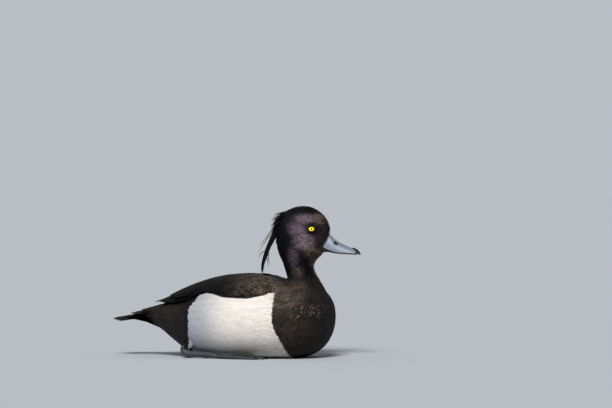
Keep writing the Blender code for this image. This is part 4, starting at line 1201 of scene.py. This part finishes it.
def add_plume(coat, places, half_wide, half_thick, lean, draw):
    """A flat tapered plume along places in the head's directions."""
    points = [head_place(*place) for place in places]
    across_head = Vector((-math.sin(HEAD_TURN), math.cos(HEAD_TURN), 0.0))
    rings = []
    stations = []
    for index, point in enumerate(points):
        before = points[max(index - 1, 0)]
        after = points[min(index + 1, len(points) - 1)]
        along = (after - before).normalized()
        flat = across_head.cross(along).normalized()
        edge = along.cross(flat).normalized()
        wide = flat * math.cos(lean) + edge * math.sin(lean)
        thick = edge * math.cos(lean) - flat * math.sin(lean)
        share = index / (len(points) - 1)
        taper = min(0.75 + share, 1.0) * (1 - max(share - 0.3, 0.0) / 0.7 * 0.86)
        ring = []
        for aside, top in PLUME_CUT:
            off_middle = wide * (aside * half_wide * taper)
            ring.append(point + off_middle + thick * (top * half_thick * taper))
        rings.append(ring)
        stations.append((share, taper))
    # A faint painted sheen on the crest plumes.
    mark = (0.0, 0.0, 0.05 * draw.random(), 0.0)
    coat.add(rings, stations, PLUME_CUT, [mark] * len(rings), draw.random(), unwrap(points[0]))


def long_plume(coat, draw):
    line = spline(CREST_LINE, CREST_STEPS + 1)
    fringe = draw.random()
    out = draw.uniform(-1.0, 1.0)
    aside = draw.gauss(0.0, 2.2)
    height = CREST_ROOT[1] + 8.0 * out - 2.0 * fringe
    root = (CREST_ROOT[0] - 2.5 * fringe, aside * 1.6, height)
    ends = draw.uniform(0.5, 1.0) if draw.random() < 0.55 else draw.uniform(0.86, 1.0)
    sag = draw.gauss(0.0, 0.45)
    places = [root]
    for step in range(1, 10):
        share = ends * (step / 9) ** 0.9
        index = min(round(share * CREST_STEPS), CREST_STEPS)
        ahead = line[min(index + 1, CREST_STEPS)] - line[max(index - 1, 0)]
        away = Vector((ahead[1], -ahead[0])).normalized()
        gather = 1.0 - 0.78 * share
        forward = line[index][0] + away.x * (out * 3.0 * gather + sag * share)
        height = line[index][1] + away.y * (out * 2.9 * gather + sag * share)
        places.append((forward, aside * (1.0 - 0.8 * share), height))
    half_wide = draw.uniform(0.26, 0.5)
    add_plume(coat, places, half_wide, PLUME_HALF_THICK, draw.uniform(-0.9, 0.9), draw)


def ruffled_plume(coat, index, draw):
    """A short plume low over the rear crown, its tip standing off the nape."""
    share = (index + 0.5) / RUFFLED_PLUMES
    back = math.radians(RUFFLES_FROM + RUFFLES_OVER * share)
    aside = draw.uniform(-1.0, 1.0)
    out = Vector((-math.sin(back), 0.0, math.cos(back)))
    long, wide, tall = CROWN_HALF_SIZES
    across = aside * wide * (1 - 0.25 * share)
    surface = CROWN_MIDDLE + Vector((out.x * long, across, out.z * tall))
    surface -= out * 4.2 * aside**2
    along = Vector((-math.cos(back), 0.12 * aside, -math.sin(back)))
    clump = math.sin(share * 34.0 + aside * 2.0) > 0.35
    length = draw.uniform(11.0, 15.0) if clump else draw.uniform(8.0, 12.0)
    rise = draw.uniform(1.6, 3.8) if clump else draw.uniform(0.3, 1.3)
    root = surface - out * 1.5
    places = []
    for step in (0.0, 0.2, 0.45, 0.7, 0.88, 1.0):
        off = (1.8 + rise) * step**1.5 + 0.5 * math.sin(step * 5.0)
        places.append(root + along * length * step + out * off)
    half_wide = draw.uniform(0.3, 0.6)
    lean = math.pi / 2 + draw.uniform(-0.7, 0.7)
    add_plume(coat, places, half_wide, PLUME_HALF_THICK, lean, draw)


def bent(start, bend, end, share):
    """A measure along a curve that leaves its start towards the bend and arrives from there."""
    return start * (1 - share) ** 2 + 2 * bend * share * (1 - share) + end * share**2


def build_crest():
    draw = random.Random(21)
    coat = Coat()
    for plume in range(LONG_PLUMES):
        long_plume(coat, draw)
    for index in range(RUFFLED_PLUMES):
        ruffled_plume(coat, index, draw)
    for wisp in WISPS:
        aside = draw.uniform(-2.0, 2.0)
        places = []
        for step in range(9):
            share = step / 8
            forward, height = (bent(*knots, share) for knots in zip(*wisp))
            places.append((forward, aside * (1 + share), height))
        add_plume(coat, places, *WISP_HALF_SIZES, 0.0, draw)
    crest = coat.build("crest_plumes", head_finish, "head_feathers")
    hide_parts("crest")


build_crest()

# The folded wings.
# Soft rounded scapulars in tiers over the folded wing, blackish with brown grain at the shoulder;
# behind them the long tertials, and the narrow tips of the primaries over the rump.

# A vane with a raised shaft: its cut, and its stations where it ends round and where pointed.
SHAFTED_CUT = [
    (-1.0, 0.0), (-0.55, 0.6), (-0.07, 0.9), (0.0, 1.5),
    (0.07, 0.9), (0.55, 0.6), (1.0, 0.0), (0.0, -0.5),
]
SCAPULAR_STATIONS = [
    (0.0, 0.35), (0.2, 0.75), (0.4, 0.96), (0.6, 1.0),
    (0.78, 0.94), (0.9, 0.74), (0.97, 0.42), (1.0, 0.12),
]
QUILL_STATIONS = [
    (0.0, 0.55), (0.2, 0.85), (0.4, 0.98), (0.6, 1.0),
    (0.76, 0.88), (0.88, 0.62), (0.96, 0.34), (1.0, 0.08),
]
# Nearest to the back's middle, how far vanes may pass the lower edge, and the fullness on top.
WING_FROM_MIDDLE = 0.8
WING_OVERHANG = 0.3
WING_LIFT = 1.3
SCAPULAR_FRONT = [(0.0, 12.0), (0.2, 30.0), (0.4, 38.0), (0.6, 42.5), (0.8, 45.0), (1.0, 46.0)]
SCAPULAR_TIERS = 12
SCAPULAR_STEP = 9.0
SCAPULAR_REAR = -56.0
# Length, half width and rise of the scapulars, each with what it loses towards the front.
SCAPULAR_LENGTH = (33.0, 17.0)
SCAPULAR_HALF = (6.2, 2.2)
SCAPULAR_RISE = (3.1, 0.9)
SCAPULAR_LIFT = -0.6
SCAPULAR_CURVE = 4.0
SCAPULAR_THICK = 0.07
SCAPULAR_ROLL = 0.1
# Root and tip along X, share of the way down to the wing's edge at root and tip, half width.
TERTIALS = [
    (-23.0, -84.0, 0.20, 0.20, 6.4),
    (-27.0, -83.0, 0.33, 0.32, 6.4),
    (-32.0, -80.5, 0.47, 0.46, 6.2),
    (-36.0, -77.5, 0.62, 0.60, 6.0),
    (-40.0, -74.0, 0.76, 0.74, 5.6),
]
SECONDARIES = [
    (-26.0, -63.0, 0.80, 0.80, 5.0),
    (-31.0, -68.0, 0.86, 0.86, 5.0),
    (-36.0, -73.0, 0.91, 0.91, 4.6),
    (-41.0, -77.0, 0.95, 0.95, 4.2),
]
PRIMARIES = [
    (-48.0, -101.5, 0.50, 0.33, 3.8),
    (-49.5, -100.0, 0.58, 0.41, 3.7),
    (-51.0, -98.2, 0.66, 0.50, 3.6),
    (-52.5, -96.2, 0.73, 0.60, 3.5),
    (-54.0, -94.0, 0.80, 0.70, 3.4),
    (-55.5, -91.4, 0.86, 0.80, 3.3),
    (-57.0, -88.4, 0.92, 0.89, 3.2),
]
# How each set lies: lift of its first vane, change from vane to vane, rise, curve, depth and roll.
QUILL_SETS = [
    (TERTIALS, QUILL_STATIONS, 1.2, 0.25, 3.4, 1.5, 0.24, 0.5),
    (SECONDARIES, SCAPULAR_STATIONS, 0.7, -0.12, 2.6, 1.5, 0.2, 0.4),
    (PRIMARIES, QUILL_STATIONS, 1.0, -0.1, 4.2, 1.2, 0.24, 0.5),
]


def over_trunk(place, degrees, aside, lift, side):
    """A point over the trunk: this far along X and down the side, moved across and lifted off."""
    row = trunk_row(place)
    angle = math.radians(degrees)
    step = math.radians(0.5)
    arc = (trunk_point(row, angle + step) - trunk_point(row, angle - step)).length / (2 * step)
    lowest = math.radians(edge_angle(place)) + WING_OVERHANG / arc
    angle = min(angle + aside / arc, lowest)
    angle = max(angle, math.asin(min(WING_FROM_MIDDLE / row[4], 1.0)))
    point = trunk_point(row, angle, lift)
    return Vector((point.x, point.y * side, point.z))


def edge_angle(place):
    """The angle down the trunk's side, in degrees, of the wing's lower edge."""
    row = trunk_row(place)
    share = min((wing_low_edge(place) - row[3]) / (row[1] - row[3]), 1.0)
    return math.degrees(math.acos(share ** (BACK_POWER / 2)))


def wing_vane(coat, vane, side, stations, lift, rise, curve, thick, roll, draw):
    """A vane that lies back over the trunk and rises from lift by rise."""
    root, tip, root_share, tip_share, half = vane
    rings = []
    marks = []
    for share, width in stations:
        place = root + (tip - root) * share
        degrees = edge_angle(place) * (root_share + (tip_share - root_share) * share)
        height = lift + rise * (1 - (1 - share) ** curve)
        ring = []
        for across, top in SHAFTED_CUT:
            aside = across * half * width
            level = height + top * thick + roll * across * width
            ring.append(over_trunk(place, degrees, aside, level, side))
        rings.append(ring)
        white, brown, painted_sheen, pale = markings(ring[3])
        marks.append((0.0, brown, 0.0, 0.0))
    spot = unwrap(rings[0][3])
    coat.add(rings, stations, SHAFTED_CUT, marks, draw.random(), spot, PATCH * 2)


def clothe_wing(side, name):
    draw = random.Random(31)
    coat = Coat()
    shares, fronts = zip(*SCAPULAR_FRONT)
    for tier in range(SCAPULAR_TIERS):
        share = 0.035 + 0.925 * tier / (SCAPULAR_TIERS - 1)
        place = float(np.interp(share, shares, fronts)) - draw.uniform(0.0, SCAPULAR_STEP) * 0.5
        place -= (tier % 2) * SCAPULAR_STEP * 0.5
        while place > SCAPULAR_REAR + 22.0 * (1 - share):
            at_front = ramp(place, -6.0, 40.0)
            length, half, rise = (
                full - less * at_front
                for full, less in (SCAPULAR_LENGTH, SCAPULAR_HALF, SCAPULAR_RISE)
            )
            length += draw.uniform(-1.5, 1.5)
            drift = draw.uniform(-0.012, 0.012)
            rise += WING_LIFT * (1 - ramp(share, 0.35, 0.85)) * (1 - at_front)
            vane = (place, place - length, share, share + drift, half)
            lift = SCAPULAR_LIFT + draw.uniform(-0.05, 0.05)
            lie = (lift, rise, SCAPULAR_CURVE, SCAPULAR_THICK, SCAPULAR_ROLL)
            wing_vane(coat, vane, side, SCAPULAR_STATIONS, *lie, draw)
            place -= SCAPULAR_STEP * (0.72 + 0.28 * (1 - at_front)) + draw.uniform(-0.8, 0.8)
    for vanes, stations, lift, change, *lie in QUILL_SETS:
        for index, vane in enumerate(vanes):
            wing_vane(coat, vane, side, stations, lift + change * index, *lie, draw)
    wing = coat.build(name + "_vanes", wing_finish, "wing_feathers")
    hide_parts(name)


wing_finish = plumage_finish(
    "wing_plumage",
    roughness=0.6,
    gloss=0.035,
    barbs=90.0,
    fringe=0.2,
    relief=0.00003,
    Black=(0.0024, 0.0021, 0.0021, 1),
    Brown=(0.2, 0.153, 0.116, 1),
    Grain_Size=1.3,
)
clothe_wing(1, "wing_left")
clothe_wing(-1, "wing_right")

# The tail.
# A short fan of fourteen stiff vanes, low behind the body, with soft coverts over and under their
# roots; all of it blackish brown.
TAIL_PAIRS = 7
TAIL_ROOT = (-103.0, 47.6)
TAIL_LENGTH = 46.5
TAIL_SHORTENING = 1.7
TAIL_HALF_WIDTH = 5.6
TAIL_FIRST_ANGLE = math.radians(3.0)
TAIL_SPREAD = math.radians(3.8)
TAIL_DROP = 0.17
TAIL_STEP_DOWN = 0.6
TAIL_THICK = 0.3
TAIL_SAG = 0.2
# How far off the middle the first pair is rooted, and each next one further out.
TAIL_FIRST_ASIDE = 0.8
TAIL_STEP_ASIDE = 0.75
TAIL_BROWN = 0.12
COVERT_THICK = 0.2
# The arc that the coverts are rooted on: its width and depth as shares of the trunk's, its bend.
COVERTS_WIDE = 0.74
COVERTS_DEEP = 0.8
COVERTS_BEND = 2.4
# Coverts: tiers as root along X, height, how many, length, half width, fall, and angle at the ends.
UPPER_COVERTS = [
    (-92.0, 55.2, 13, 24.0, 3.6, 0.28, -9.0),
    (-98.0, 52.2, 13, 25.0, 3.8, 0.24, -4.0),
    (-104.0, 49.9, 11, 24.0, 4.0, 0.22, 5.0),
]
UNDER_COVERTS = [
    (-90.0, 28.0, 13, 28.0, 4.0, -0.43, -9.0),
    (-97.0, 33.0, 13, 30.0, 4.2, -0.21, -4.0),
    (-103.0, 37.5, 11, 31.0, 4.4, -0.07, 4.0),
]


def fan_vane(coat, root, angle, length, half, drop, thick, sag, draw):
    """A vane that spreads from the tail's root and falls to the rear; its sides may sag."""
    along = Vector((-math.cos(angle), math.sin(angle), 0.0))
    across = Vector((math.sin(angle), math.cos(angle), 0.0))
    rings = []
    for share, width in SCAPULAR_STATIONS:
        middle = root + along * length * share
        middle.z -= drop * length * share
        ring = []
        for aside, top in SHAFTED_CUT:
            up = Vector((0, 0, top * thick - sag * (aside * width) ** 2))
            ring.append(middle + across * (aside * half * width) + up)
        rings.append(ring)
    marks = [(0.0, TAIL_BROWN, 0.0, 0.0)] * len(rings)
    spot = unwrap(root)
    coat.add(rings, SCAPULAR_STATIONS, SHAFTED_CUT, marks, draw.random(), spot, PATCH * 2)


def build_tail():
    draw = random.Random(41)
    coat = Coat()
    for pair in range(TAIL_PAIRS):
        angle = TAIL_FIRST_ANGLE + TAIL_SPREAD * pair
        length = TAIL_LENGTH - TAIL_SHORTENING * pair
        for side in (1, -1):
            level = 0 if pair == 0 and side == 1 else pair + 1
            height = TAIL_ROOT[1] - TAIL_STEP_DOWN * level
            aside = side * (TAIL_FIRST_ASIDE + TAIL_STEP_ASIDE * pair)
            root = Vector((TAIL_ROOT[0], aside, height))
            sizes = (length, TAIL_HALF_WIDTH, TAIL_DROP, TAIL_THICK, TAIL_SAG)
            fan_vane(coat, root, side * angle, *sizes, draw)
    for tiers, bulge, sag in ((UPPER_COVERTS, -1, 0.5), (UNDER_COVERTS, 1, -0.4)):
        for place, height, count, length, half, drop, spread in tiers:
            row = trunk_row(place)
            for index in range(count):
                share = (index - (count - 1) / 2) / ((count - 1) / 2)
                across = share * row[4] * COVERTS_WIDE
                arc = abs(share) ** COVERTS_BEND
                level = height + bulge * arc * abs(height - row[3]) * COVERTS_DEEP
                root = Vector((place - draw.uniform(0, 3), across, level))
                angle = math.radians(spread) * share
                shorter = length * (1 - 0.2 * abs(share))
                fall = drop * (1 - 0.85 * share**2)
                fan_vane(coat, root, angle, shorter, half, fall, COVERT_THICK, sag, draw)
    tail = coat.build("tail_vanes", tail_finish, "tail_feathers")
    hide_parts("tail")


tail_finish = plumage_finish(
    "tail_plumage",
    roughness=0.6,
    gloss=0.06,
    barbs=90.0,
    fringe=0.15,
    relief=0.00003,
    Black=(0.0034, 0.0029, 0.0028, 1),
    Brown=(0.09, 0.066, 0.045, 1),
)
build_tail()

# Legs and feet.
# Short blue-grey legs folded forwards under the flanks, scaled in front, with three long toes
# joined by blackish webs and a small hind toe, all flat on the floor.

# The leg from the thigh round the ankle to the toes: places along X, across and up, half width
# and half height.
LEG_LINE = [
    (-44.0, 38.4, 22.0, 5.6, 5.2),
    (-51.0, 40.6, 14.5, 4.6, 4.3),
    (-56.0, 42.4, 8.6, 3.9, 3.8),
    (-53.0, 43.2, 4.9, 3.3, 3.6),
    (-46.0, 44.4, 4.5, 2.7, 3.2),
    (-36.0, 46.0, 4.3, 2.4, 2.8),
    (-26.0, 47.6, 4.0, 2.6, 3.0),
    (-19.0, 48.6, 3.2, 3.2, 2.6),
    (-15.5, 49.2, 2.3, 2.6, 1.8),
]
# Toes: end along X, across and up, half width at the root, and the shares of its joints.
TOES = [
    (19.0, 41.0, 1.1, 2.4, (0.34, 0.7)),
    (36.0, 51.0, 1.1, 2.6, (0.28, 0.54, 0.79)),
    (29.0, 60.0, 1.1, 2.4, (0.24, 0.45, 0.64, 0.82)),
]
TOE_JOINT = (-20.0, 48.5, 2.5)
HIND_TOE = ((-22.0, 46.4, 3.2), (-31.0, 42.0, 1.0), 1.5)
LEG_RINGS = 90
LIMB_SIDES = 20
JOINT_SWELLING = 0.13
SCUTE_STEP = 1.9
SCUTE_RISE = 0.14
TOE_STEPS = 60
TOE_BOW = 1.2
TOE_TAPER = 0.42
TOE_FLATNESS = 0.62
HIND_TOE_STEPS = 24
HIND_TOE_TAPER = 0.35
HIND_TOE_FLATNESS = 0.9
CLAW_LENGTH = 4.6
CLAW_HALF_WIDTH = 1.15
CLAW_POINT = 0.12
CLAW_STEPS = 8
CLAW_SIDES = 12
WEB_HALF_THICK = 0.3
WEB_LEVEL = 0.75
WEB_STEPS = 30
WEB_COLUMNS = 12
WEB_HOLLOW = 5.0
WEB_SAG = 0.25
WEB_RIPPLE = 0.08
THIGH_TOP = Vector((-40.0, 37.0, 25.0))
THIGH_BEND = Vector((-57.0, 42.8, 8.0))
THIGH_FEATHERS = 420
# Painted shade on the thigh feathers: their white is capped just past the edge between black and
# white, which greys them like the shaded flank.
THIGH_PAINTED_SHADE_WHITE = 0.505


def limb_rings(line, sides=LIMB_SIDES, joints=()):
    """Rings along a limb: places with half width and half height, scuted, swollen at joints."""
    rings = []
    travelled = 0.0
    for index, (x, y, z, wide, high) in enumerate(line):
        middle = Vector((x, y, z))
        before = Vector(line[max(index - 1, 0)][:3])
        after = Vector(line[min(index + 1, len(line) - 1)][:3])
        travelled += (middle - before).length
        along = (after - before).normalized()
        across = along.cross(Vector((0, 0, 1)))
        across = (across if across.length > 0.2 else Vector((0, 1, 0))).normalized()
        up = across.cross(along).normalized()
        scute = SCUTE_RISE * abs(math.sin(math.pi * travelled / SCUTE_STEP))
        share = index / (len(line) - 1)
        at_joint = sum(1 - ramp(abs(share - joint), 0.0, 0.06) for joint in joints)
        swell = 1 + JOINT_SWELLING * at_joint
        ring = []
        for side in range(sides):
            angle = math.tau * side / sides
            front = scute * (1 if math.sin(angle) > -0.3 else 0)
            point = middle + across * math.cos(angle) * (wide * swell + front)
            point += up * math.sin(angle) * (high * swell + front)
            point.z = max(point.z, FLOOR_CLEARANCE)
            ring.append(point)
        rings.append(ring)
    return rings


def foot_piece(name, bodies, side, finish):
    """One piece of several closed bodies, each a list of rings made for the left foot."""
    points = []
    faces = []
    for rings in bodies:
        faces += loft_faces(len(rings), len(rings[0]), len(points))
        points += [Vector((point.x, point.y * side, point.z)) for ring in rings for point in ring]
    piece = turned_outwards(add_mesh(name, points, faces))
    piece.data.materials.append(finish)
    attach(piece, "root")
    return piece


def toe_line(toe):
    end_x, end_y, end_z, wide, joints = toe
    line = []
    for step in range(TOE_STEPS + 1):
        share = step / TOE_STEPS
        place = Vector(TOE_JOINT).lerp(Vector((end_x, end_y, end_z)), share)
        place.y += TOE_BOW * math.sin(math.pi * share) * (1 if end_y > 50 else -1)
        half = wide * (1 - TOE_TAPER * share)
        line.append((*place, half, half * TOE_FLATNESS))
    return line


def claw_rings(line):
    """A small curved claw that goes on from the end of a toe."""
    end, before = Vector(line[-1][:3]), Vector(line[-6][:3])
    along = (end - before).normalized()
    rings = []
    for step in range(CLAW_STEPS + 1):
        share = step / CLAW_STEPS
        place = end + along * (CLAW_LENGTH * share - 0.8)
        place.z += 0.7 * math.sin(math.pi * min(share * 1.1, 1.0)) - 0.55 * share
        half = CLAW_HALF_WIDTH * (1 - share) ** 0.7 + CLAW_POINT
        rings.append((*place, half * 0.8, half))
    return limb_rings(rings, CLAW_SIDES)


def web_rings(first, second):
    """A thin skin between two toes, its front edge hollowed."""
    rings = []
    for step in range(WEB_STEPS + 1):
        share = 0.06 + 0.9 * step / WEB_STEPS
        near = Vector(first[round(share * TOE_STEPS)][:3])
        far = Vector(second[round(share * TOE_STEPS)][:3])
        top = []
        bottom = []
        for column in range(WEB_COLUMNS + 1):
            across = column / WEB_COLUMNS
            place = near.lerp(far, across)
            hollow = 4 * across * (1 - across)
            place.x -= WEB_HOLLOW * hollow * share**3
            ripple = WEB_RIPPLE * math.sin(across * 40 + share * 9)
            level = WEB_LEVEL - WEB_SAG * hollow + ripple
            top.append(Vector((place.x, place.y, level + WEB_HALF_THICK)))
            lowest = max(level - WEB_HALF_THICK, FLOOR_CLEARANCE)
            bottom.append(Vector((place.x, place.y, lowest)))
        rings.append(top + bottom[::-1])
    return rings


def thigh_feathers(side, name):
    """Soft feathers, marked like the flank but greyed by painted shade, that hide where the leg
    leaves the belly.
    """
    draw = random.Random(52)
    coat = Coat()
    thigh_length = (THIGH_BEND - THIGH_TOP).length
    down = (THIGH_BEND - THIGH_TOP).normalized()
    across = down.cross(Vector((0, 0, 1))).normalized()
    up = across.cross(down)
    for index in range(THIGH_FEATHERS):
        angle = draw.uniform(-0.4, math.pi + 0.4)
        start = 0.16 + 0.36 * index / THIGH_FEATHERS
        length = draw.uniform(6.5, 12.5) * (1 - 0.3 * start)
        stray = draw.gauss(0.0, 1.1)
        out = across * math.cos(angle) + up * math.sin(angle)
        edge = down.cross(out)
        rings = []
        marks = []
        for share, width in TUFT_STATIONS:
            reach = 6.7 - 3.2 * start + 0.8 * share - 2.2 * share**2
            middle = THIGH_TOP + down * (thigh_length * start + length * share)
            middle += out * reach + edge * (stray * share)
            ring = []
            for aside, rise in THIN_CUT:
                point = middle + edge * (aside * 0.8 * width) + out * (rise * 0.06)
                ring.append(Vector((point.x, point.y * side, point.z)))
            rings.append(ring)
            white = min(markings(Vector((middle.x, middle.y * side, middle.z)))[0], THIGH_PAINTED_SHADE_WHITE)
            marks.append((white, 0.0, 0.0, 0.0))
        root = Vector((rings[0][0].x, rings[0][0].y, max(rings[0][0].z, 2.0)))
        coat.add(rings, TUFT_STATIONS, THIN_CUT, marks, draw.random(), unwrap(root))
    coat.build("thigh_feathers_" + name, body_finish, "body_feathers")


def leathery_finish(name, light, dark, scale):
    """Matt skin of small scales, dark between them."""
    finish, tree, shader = new_finish(name, 0.5, 0.3)
    sockets = {"Vector": here(tree), "Scale": scale}
    scales = add_node(tree, "ShaderNodeTexVoronoi", sockets).outputs["Distance"]
    tint = stretched(tree, scales, 0.4, 0.8)
    rounded = bump(tree, maths(tree, "SUBTRACT", 1.0, scales), 0.0003)
    feed(shader, {"Base Color": blend_colours(tree, tint, light, dark), "Normal": rounded})
    return finish


foot_finish = leathery_finish(
    "foot_skin", light=(0.034, 0.043, 0.052, 1), dark=(0.016, 0.02, 0.024, 1), scale=1100.0
)
web_finish = leathery_finish(
    "web_skin", light=(0.022, 0.024, 0.027, 1), dark=(0.009, 0.01, 0.011, 1), scale=1300.0
)


def hind_toe_line():
    root, end, half = HIND_TOE
    line = []
    for step in range(HIND_TOE_STEPS + 1):
        place = Vector(root).lerp(Vector(end), step / HIND_TOE_STEPS)
        slimmer = HIND_TOE_TAPER * step / HIND_TOE_STEPS
        line.append((*place, half * (1 - slimmer), half * (HIND_TOE_FLATNESS - slimmer)))
    return line


def build_leg(side, name):
    shank = limb_rings(spline(LEG_LINE, LEG_RINGS).tolist())
    leg = foot_piece("leg_skin_" + name, [shank], side, foot_finish)
    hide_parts("leg_" + name)
    lines = [toe_line(toe) for toe in TOES] + [hind_toe_line()]
    joints = [toe[4] for toe in TOES] + [()]
    toes = [limb_rings(line, joints=places) for line, places in zip(lines, joints)]
    foot = foot_piece("foot_skin_" + name, toes, side, foot_finish)
    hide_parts("foot_" + name)
    webs = [web_rings(lines[0], lines[1]), web_rings(lines[1], lines[2])]
    foot_piece("foot_webs_" + name, webs, side, web_finish)
    claws = [claw_rings(line) for line in lines]
    foot_piece("claws_" + name, claws, side, black_horn_finish)
    thigh_feathers(side, name)


build_leg(1, "left")
build_leg(-1, "right")

# The museum floor, lights and camera.
# A plain pale floor under soft studio lamps; the camera looks at the bird's right side from a
# little ahead, low over the floor, and keeps the photograph's framing.

# The middle of the view, to the camera's right of the origin and up, and the width of the view.
AIM = (62.6, 162.2)
VIEW_WIDTH = 648.7
CAMERA_TURN = math.radians(18.0)
CAMERA_RISE = math.radians(1.2)
CAMERA_DISTANCE_M = 6.0
CAMERA_SEES_TO_M = 200.0
FLOOR_HALF_WIDTH_M = 40.0
BACKDROP = (0.49, 0.52, 0.56, 1)

reach = FLOOR_HALF_WIDTH_M / MM
corners = [(-reach, -reach, 0.0), (reach, -reach, 0.0), (reach, reach, 0.0), (-reach, reach, 0.0)]
floor = add_mesh("floor", corners, [(0, 1, 2, 3)])
floor_finish, tree, shader = new_finish("pale_floor", 0.9, 0.0)
cloud = noise(tree, 2.0)
floor_colour = blend_colours(tree, cloud, (0.37, 0.395, 0.425, 1), (0.385, 0.41, 0.44, 1))
feed(shader, {"Base Color": floor_colour})
floor.data.materials.append(floor_finish)

# What lights the bird is dimmer than the backdrop that the camera sees behind the floor.
sky = bpy.data.worlds.new("studio")
sky.use_nodes = True
tree = sky.node_tree
light = tree.nodes["Background"]
feed(light, {"Color": (0.80, 0.87, 1.0, 1), "Strength": 0.32})
backdrop = add_node(tree, "ShaderNodeBackground", {"Color": BACKDROP})
seen = add_node(tree, "ShaderNodeLightPath", {}).outputs["Is Camera Ray"]
sockets = {0: seen, 1: light.outputs[0], 2: backdrop.outputs[0]}
either = add_node(tree, "ShaderNodeMixShader", sockets)
feed(tree.nodes["World Output"], {"Surface": either.outputs[0]})
bpy.context.scene.world = sky
bpy.context.scene.view_settings.view_transform = "Standard"


def add_lamp(name, direction, softness, power, tint):
    """A broad lamp far off that shines on the bird from a direction."""
    lamp = bpy.data.lights.new(name, "SUN")
    lamp.angle = math.radians(softness)
    lamp.energy = power
    lamp.color = tint
    obj = in_scene(name, lamp)
    obj.location = direction
    obj.rotation_euler = Vector(direction).to_track_quat("Z", "Y").to_euler()


add_lamp("key", (0.35, -1.9, 1.5), softness=18.0, power=5.0, tint=(1.0, 0.965, 0.92))
add_lamp("rim", (-0.8, 1.6, 1.5), softness=30.0, power=0.3, tint=(0.95, 0.98, 1.0))

camera = in_scene("camera", bpy.data.cameras.new("camera"))
level = math.cos(CAMERA_RISE)
toward = Vector(
    (math.sin(CAMERA_TURN) * level, -math.cos(CAMERA_TURN) * level, math.sin(CAMERA_RISE))
)
aim = Vector((AIM[0] * math.cos(CAMERA_TURN), AIM[0] * math.sin(CAMERA_TURN), AIM[1])) * MM
camera.location = aim + toward * CAMERA_DISTANCE_M
camera.rotation_euler = toward.to_track_quat("Z", "Y").to_euler()
camera.data.lens = camera.data.sensor_width * CAMERA_DISTANCE_M / (VIEW_WIDTH * MM)
camera.data.clip_end = CAMERA_SEES_TO_M
bpy.context.scene.camera = camera
